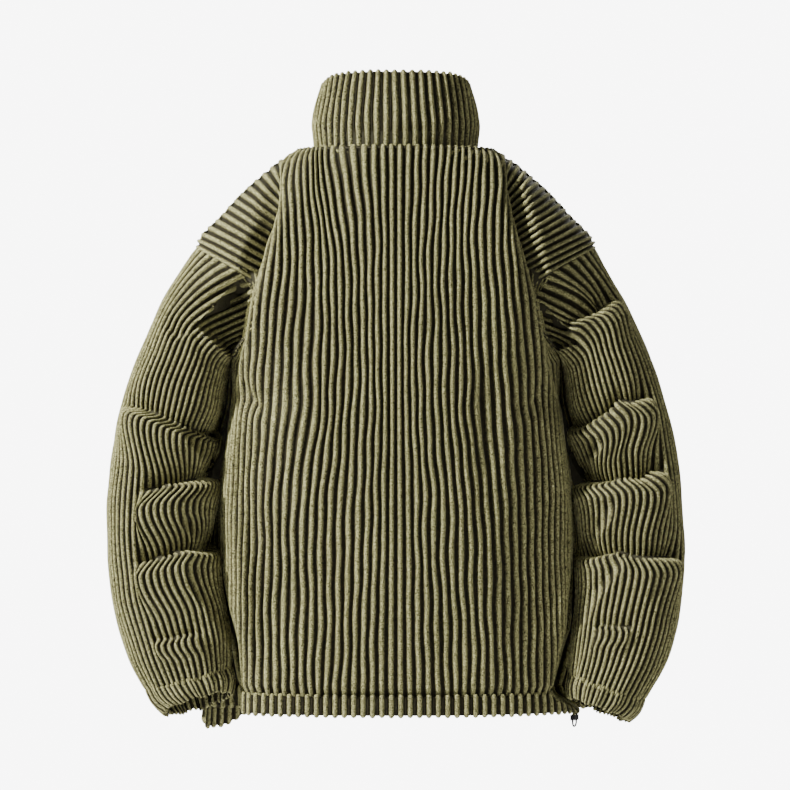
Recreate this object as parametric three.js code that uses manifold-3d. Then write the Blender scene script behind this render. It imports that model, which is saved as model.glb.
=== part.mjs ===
// Corduroy jacket, filled out and hollow, as it hangs from the neck of a wearer.
// Millimetres. +Z is up, the wearer faces -Y, +X is the wearer's left.
// The origin is the centre of the neck at the height of the back collar seam.
import * as THREE from 'three';
import Module from 'manifold-3d';
import { mergeVertices } from 'three/addons/utils/BufferGeometryUtils.js';

const wasm = await Module();
wasm.setup();

// ---- driving sizes -------------------------------------------------------------------
const CLOTH = 3;                 // wall of the corduroy, base cloth and wales together
const GAP = 0.3;                 // clearance between two pieces at a seam
const NECK_DROP = 62;            // how far the neckline falls from back to front
const NECK_DROP_REACH = 260;     // level at which the front rows are level again
const SHOULDER_TIP = -119;       // level where the shoulder seam meets the sleeve
const ARMPIT = -262;
const HEM_SEAM = -652;
const HEM_EDGE = -680;
const COLLAR = { seat: 0.9, half: 87, depth: 66, backTop: 84, sideTop: 62, frontTop: 13, swell: 0.025 };
const SLEEVE_ROUNDNESS = 2.3;
const SLEEVE_SETTLED = 2;        // ring from which the sleeve no longer follows the armhole
const CUFF_CLEAR = { across: 0.2, down: 0.55 };
// the front hem hangs lower: `right` mm at the right, `left` mm more at the left
const HEM_DROP = { right: 5, left: 14, start: -540 };
const HEM_TURN = { angleFrom: 84, angleTo: 110, sideFrom: -0.1, sideTo: 0.8 };

const ZIP = { slot: 3.8, chain: 3.5, proud: 0.6, deep: 3.6 };
const TAPE = { inner: 0.6, outer: 15, behind: 0.9, thick: 1 };
const ZIP_BOX = { height: 11, proud: 1.6, deep: 4.6 };
const SLIDER = { rise: 61, wide: 8.6, narrow: 6.2, length: 11, plate: 2.2 };
const ARCH = { width: 2, length: 8.8, post: 1.2, gap: 2.2, beam: 1.2 };
const PULL = { width: 6.8, length: 30, thick: 1.2, bar: 1.2, window: 4.4, opening: 6, corner: 2.2 };

const CORD = { diameter: 2.2, sides: 8, steps: 40, angle: -57, half: 0.5 };
const LOCK = { width: 15.6, depth: 5.6, height: 6.4, top: -682, hole: 1.4, corner: 2.4 };

// the drawcord's loop below the hem: along the hem, in from its outer face, up
const CORD_ROUTE = [
  { along: -5, inside: 1.5, z: -680.8 },
  { along: -5, inside: 1.5, z: -682 },
  { along: -5, inside: 1.5, z: -684 },
  { along: -5, inside: 1.5, z: -686 },
  { along: -5, inside: 1.5, z: -688 },
  { along: -5, inside: 1.5, z: -690 },
  { along: -4.7, inside: 1.5, z: -692.2 },
  { along: -3.4, inside: 1.6, z: -694.4 },
  { along: -1.8, inside: 1.7, z: -695.5 },
  { along: 0, inside: 1.8, z: -695.9 },
  { along: 1.8, inside: 1.7, z: -695.5 },
  { along: 3.4, inside: 1.6, z: -694.4 },
  { along: 4.7, inside: 1.5, z: -692.2 },
  { along: 5, inside: 1.5, z: -690 },
  { along: 5, inside: 1.5, z: -688 },
  { along: 5, inside: 1.5, z: -686 },
  { along: 5, inside: 1.5, z: -684 },
  { along: 5, inside: 1.5, z: -682 },
  { along: 5, inside: 1.5, z: -680.8 },
];

// ---- sections of the body, one row for each level ------------------------------------
// half: half width; mid: Y of the widest point; back, front: reach along Y;
// power: 2 is an ellipse, more is squarer
const BODY = [
  { level: 0, half: 104, mid: 0, back: 78, front: 78, power: 2.0 },
  { level: -12, half: 126, mid: 0, back: 85, front: 84, power: 2.0 },
  { level: -26, half: 144.5, mid: 0, back: 91, front: 88, power: 2.0 },
  { level: -54, half: 177, mid: 0, back: 101, front: 95, power: 2.05 },
  { level: -82, half: 201, mid: 0, back: 109, front: 101, power: 2.1 },
  { level: -119, half: 233, mid: 0, back: 116, front: 108, power: 2.15 },
  { level: -170, half: 223, mid: 0, back: 121, front: 113, power: 2.3 },
  { level: -262, half: 198, mid: 0, back: 124, front: 117, power: 2.5 },
  { level: -300, half: 198, mid: -6, back: 124, front: 117, power: 2.5 },
  { level: -330, half: 201, mid: -15, back: 124, front: 118, power: 2.6 },
  { level: -420, half: 213, mid: -35, back: 122, front: 118, power: 2.6 },
  { level: -520, half: 219, mid: -45, back: 119, front: 116, power: 2.6 },
  { level: -620, half: 230, mid: -50, back: 116, front: 113, power: 2.6 },
  { level: -680, half: 240, mid: -50, back: 113, front: 112, power: 2.6 },
];

// the fold that runs down each side of the back, beside the fuller middle
const BACK_FOLD = [
  { level: -20, left: 139, right: 131, deep: 0 },
  { level: -60, left: 138, right: 134, deep: 12 },
  { level: -138, left: 158, right: 153, deep: 20 },
  { level: -195, left: 173, right: 169, deep: 18 },
  { level: -262, left: 185, right: 181, deep: 12 },
  { level: -365, left: 201, right: 209, deep: 8 },
  { level: -494, left: 198, right: 214, deep: 8 },
  { level: -617, left: 187, right: 203, deep: 10 },
  { level: -680, left: 181, right: 214, deep: 6 },
];
const BACK_FOLD_SHAPE = { offset: 8, width: 12, fade: 4 };

// how far out the side may reach where the sleeve lies against it, from y = low upwards
const SLEEVE_PRESS = [
  { level: -420, left: 240, right: 240, low: -5 },
  { level: -480, left: 216, right: 216, low: -4 },
  { level: -520, left: 208, right: 211, low: -2 },
  { level: -545, left: 202, right: 207, low: 0 },
  { level: -575, left: 193, right: 205, low: 2 },
  { level: -608, left: 187, right: 197, low: 3 },
  { level: -655, left: 185, right: 188, low: 8 },
  { level: -668, left: 185, right: 207, low: 9 },
  { level: -680, left: 184, right: 226, low: 10 },
];
const PRESS_SHAPE = { softness: 5, fade: 22, from: 100, to: 150 };

// armholes: angle of the cloth's edge from the centre of the back or of the front
const ARMHOLE = [
  { level: -119, back: 90, front: 90 },
  { level: -124, back: 76, front: 76 },
  { level: -138, back: 61, front: 62 },
  { level: -165, back: 47, front: 50 },
  { level: -190, back: 45, front: 47 },
  { level: -215, back: 48, front: 50 },
  { level: -240, back: 59, front: 61 },
  { level: -256, back: 74, front: 75 },
  { level: -262, back: 90, front: 90 },
];

// sleeves: outer and inner edge of each ring, with the Y of its middle and its half depth
const SLEEVES = {
  left: [
    { ring: 0, outX: 233, outZ: -119, inX: 198, inZ: -262, mid: 0, deep: 66 },
    { ring: 1, outX: 257, outZ: -157, inX: 202, inZ: -272, mid: 3, deep: 65 },
    { ring: 2, outX: 278, outZ: -195, inX: 203.5, inZ: -284, mid: 5, deep: 63 },
    { ring: 3, outX: 297, outZ: -237, inX: 207, inZ: -301, mid: 7, deep: 61 },
    { ring: 4, outX: 315, outZ: -280, inX: 209, inZ: -322, mid: 9, deep: 60 },
    { ring: 5, outX: 329, outZ: -334, inX: 213, inZ: -352, mid: 11, deep: 60 },
    { ring: 6, outX: 337, outZ: -393, inX: 217, inZ: -396, mid: 13, deep: 60 },
    { ring: 7, outX: 340, outZ: -440, inX: 219, inZ: -440, mid: 16, deep: 60 },
    { ring: 8, outX: 339, outZ: -486, inX: 219, inZ: -482, mid: 20, deep: 58 },
    { ring: 9, outX: 334, outZ: -532, inX: 211, inZ: -520, mid: 26, deep: 56 },
    { ring: 10, outX: 326, outZ: -568, inX: 203, inZ: -552, mid: 31, deep: 54 },
    { ring: 11, outX: 312, outZ: -612, inX: 194, inZ: -588, mid: 37, deep: 51 },
    { ring: 12, outX: 291, outZ: -650, inX: 193, inZ: -615, mid: 42, deep: 45 },
  ],
  right: [
    { ring: 0, outX: 233, outZ: -119, inX: 198, inZ: -262, mid: 0, deep: 66 },
    { ring: 1, outX: 253, outZ: -157, inX: 202, inZ: -272, mid: 3, deep: 65 },
    { ring: 2, outX: 271, outZ: -195, inX: 203.5, inZ: -284, mid: 5, deep: 63 },
    { ring: 3, outX: 290, outZ: -237, inX: 205, inZ: -301, mid: 7, deep: 61 },
    { ring: 4, outX: 308, outZ: -280, inX: 206, inZ: -320, mid: 9, deep: 60 },
    { ring: 5, outX: 322, outZ: -334, inX: 209, inZ: -350, mid: 11, deep: 60 },
    { ring: 6, outX: 332, outZ: -393, inX: 213, inZ: -394, mid: 13, deep: 60 },
    { ring: 7, outX: 336, outZ: -440, inX: 217, inZ: -438, mid: 16, deep: 60 },
    { ring: 8, outX: 338, outZ: -486, inX: 218, inZ: -482, mid: 20, deep: 58 },
    { ring: 9, outX: 334, outZ: -534, inX: 214, inZ: -522, mid: 26, deep: 56 },
    { ring: 10, outX: 328, outZ: -570, inX: 212, inZ: -555, mid: 31, deep: 54 },
    { ring: 11, outX: 314, outZ: -616, inX: 205, inZ: -592, mid: 37, deep: 51 },
    { ring: 12, outX: 290, outZ: -659, inX: 200, inZ: -619, mid: 42, deep: 45 },
  ],
};

// cuffs: the ring at the sleeve seam and the ring at the wrist
const CUFFS = {
  left: [
    { ring: 0, outX: 291, outZ: -650, inX: 193, inZ: -615, mid: 42, deep: 45 },
    { ring: 0.5, outX: 283, outZ: -667, inX: 190, inZ: -632, mid: 44, deep: 43 },
    { ring: 1, outX: 271, outZ: -680, inX: 191, inZ: -651, mid: 46, deep: 40 },
  ],
  right: [
    { ring: 0, outX: 290, outZ: -659, inX: 200, inZ: -619, mid: 42, deep: 45 },
    { ring: 0.5, outX: 281, outZ: -674, inX: 197, inZ: -638, mid: 44, deep: 43 },
    { ring: 1, outX: 269, outZ: -687, inX: 197, inZ: -657, mid: 46, deep: 40 },
  ],
};

// ---- colours and finishes ------------------------------------------------------------
const OLIVE = new THREE.Color(0x6b6748);
const finish = (color, roughness, metalness) => ({ color, roughness, metalness });
const CORDUROY = finish(OLIVE, 0.95, 0);
const WOVEN = finish(new THREE.Color(0x3c3a28), 0.9, 0);
const METAL = finish(new THREE.Color(0x4a4a46), 0.35, 0.9);
const PLASTIC = finish(new THREE.Color(0x0c0c0c), 0.25, 0);
const ELASTIC = finish(new THREE.Color(0x101010), 0.7, 0);

const rad = THREE.MathUtils.degToRad;
const deg = THREE.MathUtils.radToDeg;
const clamp = THREE.MathUtils.clamp;
const smooth = THREE.MathUtils.smoothstep;
const vec = (x, y, z) => new THREE.Vector3(x, y, z);

// Value of one column of a table at a key, on a smooth curve that never overshoots a row.
function column(rows, key, name) {
  const sorted = [...rows].sort((a, b) => a[key] - b[key]);
  const x = sorted.map((row) => row[key]);
  const y = sorted.map((row) => row[name]);
  const step = x.slice(1).map((value, i) => (y[i + 1] - y[i]) / (value - x[i]));
  const slope = y.map((_, i) => {
    if (i === 0) return step[0];
    if (i === y.length - 1) return step[i - 1];
    return step[i - 1] * step[i] <= 0 ? 0 : (2 * step[i - 1] * step[i]) / (step[i - 1] + step[i]);
  });
  return (value) => {
    const at = clamp(value, x[0], x[x.length - 1]);
    let i = 0;
    while (i < x.length - 2 && at > x[i + 1]) i += 1;
    const width = x[i + 1] - x[i];
    const t = (at - x[i]) / width;
    const rise = y[i + 1] - y[i];
    const a = width * slope[i] - rise;
    const b = rise - width * slope[i + 1];
    return y[i] + t * rise + t * (1 - t) * (a * (1 - t) + b * t);
  };
}

// All the columns of a table, as functions of its key.
function columns(rows, key) {
  const names = Object.keys(rows[0]).filter((name) => name !== key);
  return Object.fromEntries(names.map((name) => [name, column(rows, key, name)]));
}

const body = columns(BODY, 'level');
const fold = columns(BACK_FOLD, 'level');
const press = columns(SLEEVE_PRESS, 'level');
const armhole = columns(ARMHOLE, 'level');
const sleeves = { left: columns(SLEEVES.left, 'ring'), right: columns(SLEEVES.right, 'ring') };
const cuffs = { left: columns(CUFFS.left, 'ring'), right: columns(CUFFS.right, 'ring') };

// ---- surfaces ------------------------------------------------------------------------
// How far the neckline falls at an angle: nothing at the back and sides, all at the front.
function neckDrop(angle, level) {
  const front = Math.max(0, -Math.cos(rad(angle)));
  const fade = clamp(1 + level / NECK_DROP_REACH, 0, 1);
  return NECK_DROP * front ** 1.5 * fade ** 2;
}

// The front hem hangs lower than the back, most of all at the wearer's left.
function hemDrop(angle, level) {
  const front = smooth(Math.abs(angle), HEM_TURN.angleFrom, HEM_TURN.angleTo);
  const left = smooth(Math.sin(rad(angle)), HEM_TURN.sideFrom, HEM_TURN.sideTo);
  const near = clamp((level - HEM_DROP.start) / (HEM_EDGE - HEM_DROP.start), 0, 1);
  return front * (HEM_DROP.right + HEM_DROP.left * left) * near ** 2;
}

// A point on the outside of the body. Angle 0 is the centre back, 90 the wearer's left
// side, 180 the centre front and -90 the right side.
function bodyPoint(angle, level) {
  const across = Math.sin(rad(angle));
  const along = Math.cos(rad(angle));
  const side = across >= 0 ? 'left' : 'right';
  const power = body.power(level);
  const norm = (Math.abs(across) ** power + Math.abs(along) ** power) ** (1 / power);
  const mid = body.mid(level);
  const reach = along >= 0 ? body.back(level) - mid : body.front(level) + mid;
  let x = Math.abs((body.half(level) * across) / norm);
  let y = mid + (reach * along) / norm;
  const from = (x - fold[side](level) - BACK_FOLD_SHAPE.offset) / BACK_FOLD_SHAPE.width;
  y -= fold.deep(level) * Math.exp(-from * from) * clamp(along * BACK_FOLD_SHAPE.fade, 0, 1);
  const over = x - press[side](level);
  const low = press.low(level);
  const lean = smooth(y, low - PRESS_SHAPE.fade, low) * smooth(x, PRESS_SHAPE.from, PRESS_SHAPE.to);
  x -= (lean * (over + Math.hypot(over, PRESS_SHAPE.softness))) / 2;
  return vec(across >= 0 ? x : -x, y, level - neckDrop(angle, level) - hemDrop(angle, level));
}

// A point on a tube ring of a sleeve or a cuff. Angle 0 is its outer edge, 90 its back,
// 180 its inner edge.
function ringPoint(rings, side, angle, ring) {
  const c = Math.cos(rad(angle));
  const s = Math.sin(rad(angle));
  const power = SLEEVE_ROUNDNESS;
  const norm = (Math.abs(c) ** power + Math.abs(s) ** power) ** (1 / power);
  const [outX, outZ, inX, inZ] = ['outX', 'outZ', 'inX', 'inZ'].map((name) => rings[name](ring));
  const x = (outX + inX) / 2 + ((outX - inX) / 2) * (c / norm);
  const z = (outZ + inZ) / 2 + ((outZ - inZ) / 2) * (c / norm);
  return vec(side === 'left' ? x : -x, rings.mid(ring) + rings.deep(ring) * (s / norm), z);
}

// The armhole's edge at a sleeve angle, as an angle and level of the body.
function armholePlace(side, angle) {
  const turn = ((angle % 360) + 360) % 360;
  const level = SHOULDER_TIP + ((ARMPIT - SHOULDER_TIP) * (1 - Math.cos(rad(turn)))) / 2;
  const around = turn <= 180 ? armhole.back(level) : 180 - armhole.front(level);
  return { around: side === 'left' ? around : -around, level };
}

// A point on the outside of a sleeve: it starts on the armhole and settles onto its rings.
function sleevePoint(side, angle, ring) {
  const point = ringPoint(sleeves[side], side, angle, ring);
  const fade = clamp(1 - ring / SLEEVE_SETTLED, 0, 1) ** 2;
  if (fade === 0) return point;
  const { around, level } = armholePlace(side, angle);
  const start = ringPoint(sleeves[side], side, angle, 0);
  const seam = bodyPoint(around, level).sub(start).multiplyScalar(fade);
  const clear = vec(side === 'left' ? 2 * GAP : -2 * GAP, 0, -GAP).multiplyScalar(fade);
  return point.add(seam).add(clear);
}

// A point on the outside of the collar. Rise is 0 at the neck seam and 1 at the top.
function collarPoint(angle, rise) {
  const foot = bodyPoint(angle, 0);
  const s = Math.sin(rad(angle));
  const c = Math.cos(rad(angle));
  const tilt = (COLLAR.backTop + COLLAR.frontTop) / 2;
  const swing = (COLLAR.backTop - COLLAR.frontTop) / 2;
  const topZ = tilt + swing * c + (COLLAR.sideTop - tilt) * s * s;
  const top = vec(COLLAR.half * s, COLLAR.depth * c, topZ);
  const swell = 1 + COLLAR.swell * Math.sin(Math.PI * rise);
  const point = foot.lerp(top, rise);
  return vec(point.x * swell, point.y * swell, point.z + COLLAR.seat);
}

// Half the collar's width at a rise.
const collarHalf = (rise) => THREE.MathUtils.lerp(body.half(0), COLLAR.half, rise);

// A point of the centre front, `across` mm from the middle. Rise is a level of the body
// below 0, and mm up the collar above 0.
function frontPoint(across, rise) {
  const up = rise / (COLLAR.frontTop + NECK_DROP);
  if (rise > 0) return collarPoint(180 - deg(across / collarHalf(up)), up);
  return bodyPoint(180 - deg(across / body.half(rise)), rise);
}

// Outward normal of a surface, from two small steps that stay inside its limits.
const NORMAL_STEP = 1e-3;

function normalAt(surface, u, v, limits) {
  const e = NORMAL_STEP;
  const [uMin, uMax] = limits.u ?? [-Infinity, Infinity];
  const [u0, u1] = [Math.max(u - e, uMin), Math.min(u + e, uMax)];
  const [v0, v1] = [Math.max(v - e, limits.v[0]), Math.min(v + e, limits.v[1])];
  const alongU = surface(u1, v).sub(surface(u0, v));
  const alongV = surface(u, v1).sub(surface(u, v0));
  return alongU.cross(alongV).normalize();
}

// A closed wall of cloth: an outer sheet through the surface, an inner one `depth` behind
// it and a rim between them. `edges(v)` gives the first and last u of a row, and u runs
// from 0 to 1 between them. `lift` moves the whole wall outwards.
function wall(surface, columnCount, levels, options = {}) {
  const { closed = false, outward = 1, depth = CLOTH, lift = 0, startNormal = null } = options;
  const edges = options.edges ?? (() => [0, 360]);
  const limits = { v: [Math.min(...levels), Math.max(...levels)] };
  const outer = [];
  const inner = [];
  const count = closed ? columnCount : columnCount + 1;
  levels.forEach((level, row) => {
    const [first, last] = edges(level);
    for (let i = 0; i < count; i += 1) {
      const u = first + ((last - first) * i) / columnCount;
      const uLimits = closed ? null : [Math.min(first, last), Math.max(first, last)];
      const own = normalAt(surface, u, level, { ...limits, u: uLimits }).multiplyScalar(outward);
      const normal = row === 0 && startNormal ? startNormal(u, own) : own;
      const point = surface(u, level);
      outer.push(point.clone().addScaledVector(normal, lift));
      inner.push(point.clone().addScaledVector(normal, lift - depth));
    }
  });
  return closedSheet(outer, inner, count, levels.length, closed);
}

// Joins an outer and an inner grid of points, rows by columns, into one closed mesh.
function closedSheet(outer, inner, count, rows, closed) {
  const base = outer.length;
  const faces = [];
  const quad = (a, b, c, d) => faces.push(a, b, c, a, c, d);
  const spans = closed ? count : count - 1;
  const at = (row, i) => row * count + (i % count);
  for (let row = 0; row < rows - 1; row += 1) {
    for (let i = 0; i < spans; i += 1) {
      const ring = [at(row, i), at(row, i + 1), at(row + 1, i + 1), at(row + 1, i)];
      const long = outer[ring[0]].distanceTo(outer[ring[2]]) > outer[ring[1]].distanceTo(outer[ring[3]]);
      const [a, b, c, d] = long ? [...ring.slice(1), ring[0]] : ring;
      quad(a, b, c, d);
      quad(base + a, base + d, base + c, base + b);
    }
  }
  for (let i = 0; i < spans; i += 1) {
    const [a, b] = [at(0, i), at(0, i + 1)];
    const [c, d] = [at(rows - 1, i), at(rows - 1, i + 1)];
    quad(b, a, base + a, base + b);
    quad(c, d, base + d, base + c);
  }
  for (let row = 0; row < rows - 1 && !closed; row += 1) {
    const [a, b] = [at(row, 0), at(row + 1, 0)];
    const [c, d] = [at(row, count - 1), at(row + 1, count - 1)];
    quad(a, b, base + b, base + a);
    quad(d, c, base + c, base + d);
  }
  return facing(new THREE.BufferGeometry().setFromPoints([...outer, ...inner]).setIndex(faces));
}

// Turns every face of a closed mesh outwards, by the sign of its volume.
function facing(geometry) {
  const position = geometry.getAttribute('position');
  const index = geometry.getIndex().array;
  const corner = (i) => new THREE.Vector3().fromBufferAttribute(position, index[i]);
  let volume = 0;
  for (let i = 0; i < index.length; i += 3) {
    volume += corner(i).dot(corner(i + 1).cross(corner(i + 2)));
  }
  if (volume < 0) {
    for (let i = 0; i < index.length; i += 3) [index[i], index[i + 1]] = [index[i + 1], index[i]];
  }
  return geometry;
}

// The solid of an indexed closed geometry, and the geometry of a solid.
function solidOf(geometry) {
  const vertProperties = new Float32Array(geometry.getAttribute('position').array);
  const triVerts = new Uint32Array(geometry.getIndex().array);
  return new wasm.Manifold(new wasm.Mesh({ numProp: 3, vertProperties, triVerts }));
}

function geometryOf(solid) {
  const { vertProperties, triVerts } = solid.getMesh();
  const geometry = new THREE.BufferGeometry();
  geometry.setAttribute('position', new THREE.BufferAttribute(vertProperties, 3));
  return geometry.setIndex(new THREE.BufferAttribute(triVerts, 1));
}

// What is left of a geometry outside some others, without the crumbs of the cut.
function cutAway(geometry, cutters) {
  const rest = cutters.reduce((solid, cutter) => solid.subtract(solidOf(cutter)), solidOf(geometry));
  const parts = rest.decompose().sort((a, b) => b.volume() - a.volume());
  return geometryOf(parts[0]);
}

// ---- pieces --------------------------------------------------------------------------
const jacket = new THREE.Group();

function add(name, geometry, look, place = null) {
  const mesh = new THREE.Mesh(geometry, new THREE.MeshStandardMaterial(look));
  mesh.name = name;
  if (place) mesh.applyMatrix4(place);
  jacket.add(mesh);
}

const SEAM_ANGLE = 0.12;         // half the gap at the side and shoulder seams, in degrees
const CUT = { spread: 0.4, top: -26, bottom: -330 };   // where the body's walls cut a sleeve
const BACK_COLUMNS = 30;
const FRONT_COLUMNS = 13;
const SLEEVE_COLUMNS = 20;
const SLEEVE_RINGS = [0, 0.35, 0.8, 1.4, 2, 3, 4, 5, 6, 7, 8, 9, 10, 11, 12];
const CUFF_RINGS = [0, 0.5, 1];
const COLLAR_COLUMNS = 30;
const COLLAR_RISES = [0, 0.34, 0.67, 1];
const CURVE_SEGMENTS = 5;
// how far a sleeve's first normals turn from the body's: by the cosine between the two
const SEAM_BLEND = { from: -0.1, to: 0.6 };
const inArmhole = (level) => level <= SHOULDER_TIP && level >= ARMPIT;
const edgeOfBack = (level) => (inArmhole(level) ? armhole.back(level) : 90) - SEAM_ANGLE;
const edgeOfFront = (level) => 180 - (inArmhole(level) ? armhole.front(level) : 90) + SEAM_ANGLE;
const zipEdge = (level) => 180 - deg(ZIP.slot / body.half(level));

const SHOULDER = [0, -12, -26, -44, -64, -90, SHOULDER_TIP];
const CHEST = [-124, -138, -162, -190, -215, -240, -256, ARMPIT];
const LOWER = [-290, -330, -380, -440, -500, -560, -608, HEM_SEAM + GAP / 2];
const PANEL_LEVELS = [...SHOULDER, ...CHEST, ...LOWER];
const HEM_LEVELS = [HEM_SEAM - GAP / 2, HEM_EDGE];

function bodyPieces() {
  const back = { outward: -1, edges: (level) => [-edgeOfBack(level), edgeOfBack(level)] };
  add('back', wall(bodyPoint, BACK_COLUMNS, PANEL_LEVELS, back), CORDUROY);
  add('hem_back', wall(bodyPoint, BACK_COLUMNS, HEM_LEVELS, back), CORDUROY);
  for (const [side, sign] of [['left', 1], ['right', -1]]) {
    const front = { outward: -1, edges: (level) => [sign * edgeOfFront(level), sign * zipEdge(level)] };
    add(`front_${side}`, wall(bodyPoint, FRONT_COLUMNS, PANEL_LEVELS, front), CORDUROY);
    add(`hem_front_${side}`, wall(bodyPoint, FRONT_COLUMNS, HEM_LEVELS, front), CORDUROY);
  }
}

// The body's walls a little thicker and wider, to clear a sleeve from them.
function bodyCutters(sign) {
  const thicker = { outward: -1, lift: GAP * 2, depth: CLOTH + GAP * 4 };
  const levels = PANEL_LEVELS.filter((level) => level <= CUT.top && level >= CUT.bottom);
  const back = (level) => [-edgeOfBack(level) - CUT.spread, edgeOfBack(level) + CUT.spread];
  const front = (level) => [sign * (edgeOfFront(level) - CUT.spread), sign * zipEdge(level)];
  return [
    wall(bodyPoint, BACK_COLUMNS, levels, { ...thicker, edges: back }),
    wall(bodyPoint, FRONT_COLUMNS, levels, { ...thicker, edges: front }),
  ];
}

function sleevePieces() {
  for (const side of ['left', 'right']) {
    const outward = side === 'left' ? 1 : -1;
    const surface = (angle, ring) => sleevePoint(side, angle, ring);
    const startNormal = (angle, own) => {
      const { around, level } = armholePlace(side, angle);
      const ofBody = normalAt(bodyPoint, around, level, { v: [HEM_EDGE, 0] }).multiplyScalar(-1);
      return ofBody.lerp(own, 1 - smooth(ofBody.dot(own), SEAM_BLEND.from, SEAM_BLEND.to)).normalize();
    };
    const sleeve = wall(surface, SLEEVE_COLUMNS, SLEEVE_RINGS, { closed: true, outward, startNormal });
    add(`sleeve_${side}`, cutAway(sleeve, bodyCutters(outward)), CORDUROY);
    const cuff = (angle, ring) => {
      const point = ringPoint(cuffs[side], side, angle, ring);
      return point.add(vec(-outward * CUFF_CLEAR.across, 0, -CUFF_CLEAR.down));
    };
    add(`cuff_${side}`, wall(cuff, SLEEVE_COLUMNS, CUFF_RINGS, { closed: true, outward }), CORDUROY);
  }
}

function collarPiece() {
  const open = (rise) => deg(ZIP.slot / collarHalf(rise));
  const edges = (rise) => [-180 + open(rise), 180 - open(rise)];
  add('collar', wall(collarPoint, COLLAR_COLUMNS, COLLAR_RISES, { outward: -1, edges }), CORDUROY);
}

// A rectangle with round corners, centred across and hanging down from y = 0.
function roundedShape(width, height, corner) {
  const [x, y] = [width / 2, -height];
  const shape = new THREE.Shape();
  shape.moveTo(-x + corner, 0).lineTo(x - corner, 0).quadraticCurveTo(x, 0, x, -corner);
  shape.lineTo(x, y + corner).quadraticCurveTo(x, y, x - corner, y).lineTo(-x + corner, y);
  shape.quadraticCurveTo(-x, y, -x, y + corner).lineTo(-x, -corner);
  shape.quadraticCurveTo(-x, 0, -x + corner, 0);
  return shape;
}

const extruded = (shape, depth) =>
  new THREE.ExtrudeGeometry(shape, { depth, bevelEnabled: false, curveSegments: CURVE_SEGMENTS });

// A three.js geometry with its shared vertices merged, ready for a join or a cut.
function merged(geometry) {
  const plain = geometry.clone();
  plain.deleteAttribute('normal');
  plain.deleteAttribute('uv');
  return mergeVertices(plain, 1e-4);
}

// The slider's own frame: X across the zip, Y up it and Z out of the cloth.
function sliderFrame() {
  const limits = { v: [HEM_EDGE, COLLAR.frontTop + NECK_DROP] };
  const out = normalAt(frontPoint, 0, SLIDER.rise, limits);
  const across = vec(1, 0, 0);
  const up = out.clone().cross(across);
  const foot = frontPoint(0, SLIDER.rise).addScaledVector(out, ZIP.proud + GAP);
  return new THREE.Matrix4().makeBasis(across, up, out).setPosition(foot);
}

// Slider plate with the arch that holds the pull tab, as one solid.
function sliderGeometry() {
  const [w, n, l] = [SLIDER.wide / 2, SLIDER.narrow / 2, SLIDER.length / 2];
  const plate = new THREE.Shape([[-n, -l], [n, -l], [w, 0], [w, l], [-w, l], [-w, 0]].map(([x, y]) =>
    new THREE.Vector2(x, y)));
  const base = solidOf(merged(extruded(plate, SLIDER.plate)));
  const [a, g] = [ARCH.length / 2, ARCH.gap + SLIDER.plate];
  const low = SLIDER.plate - GAP;
  const [post, top] = [a - ARCH.post, g + ARCH.beam];
  const side = [[-a, low], [-a, g], [-post, top], [post, top], [a, g], [a, low], [post, low], [post, g],
    [-post, g], [-post, low]];
  const arch = extruded(new THREE.Shape(side.map(([y, z]) => new THREE.Vector2(y, z))), ARCH.width);
  const upright = new THREE.Matrix4().makeBasis(vec(0, 1, 0), vec(0, 0, 1), vec(1, 0, 0));
  arch.applyMatrix4(upright.setPosition(-ARCH.width / 2, 0, 0));
  return geometryOf(base.add(solidOf(merged(arch))));
}

// The pull tab, hanging from a bar that runs under the slider's arch.
function pullGeometry() {
  const tab = roundedShape(PULL.width, PULL.length, PULL.corner);
  const hole = new THREE.Path();
  const [x, top, low] = [PULL.window / 2, -PULL.bar, -PULL.bar - PULL.opening];
  hole.moveTo(-x, top).lineTo(-x, low).lineTo(x, low).lineTo(x, top).lineTo(-x, top);
  tab.holes.push(hole);
  return extruded(tab, PULL.thick).translate(0, PULL.bar / 2, -PULL.thick / 2);
}

function zipPieces() {
  const top = COLLAR.frontTop + NECK_DROP;
  const collarRises = COLLAR_RISES.filter((rise) => rise > 0).map((rise) => rise * top);
  const rises = [...PANEL_LEVELS, ...HEM_LEVELS].reverse().concat(collarRises);
  const tapeLift = -(CLOTH + TAPE.behind);
  for (const [side, sign] of [['left', 1], ['right', -1]]) {
    const edges = () => [sign * TAPE.inner, sign * TAPE.outer];
    const tape = wall(frontPoint, 1, rises, { edges, lift: tapeLift, depth: TAPE.thick });
    add(`zip_tape_${side}`, tape, WOVEN);
  }
  const width = () => [-ZIP.chain, ZIP.chain];
  const chain = { edges: width, lift: ZIP.proud, depth: ZIP.deep };
  const boxTop = HEM_EDGE + ZIP_BOX.height;
  const chainRises = [boxTop + GAP, ...rises.filter((rise) => rise > boxTop + 2 * GAP)];
  add('zip_chain', wall(frontPoint, 1, chainRises, chain), METAL);
  const box = { edges: width, lift: ZIP_BOX.proud, depth: ZIP_BOX.deep };
  add('zip_box', wall(frontPoint, 1, [HEM_EDGE, boxTop], box), METAL);
  const frame = sliderFrame();
  add('zip_slider', sliderGeometry(), METAL, frame);
  const hang = new THREE.Matrix4().makeTranslation(0, 0, SLIDER.plate + ARCH.gap / 2);
  add('zip_pull', pullGeometry(), METAL, frame.clone().multiply(hang));
}

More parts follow.
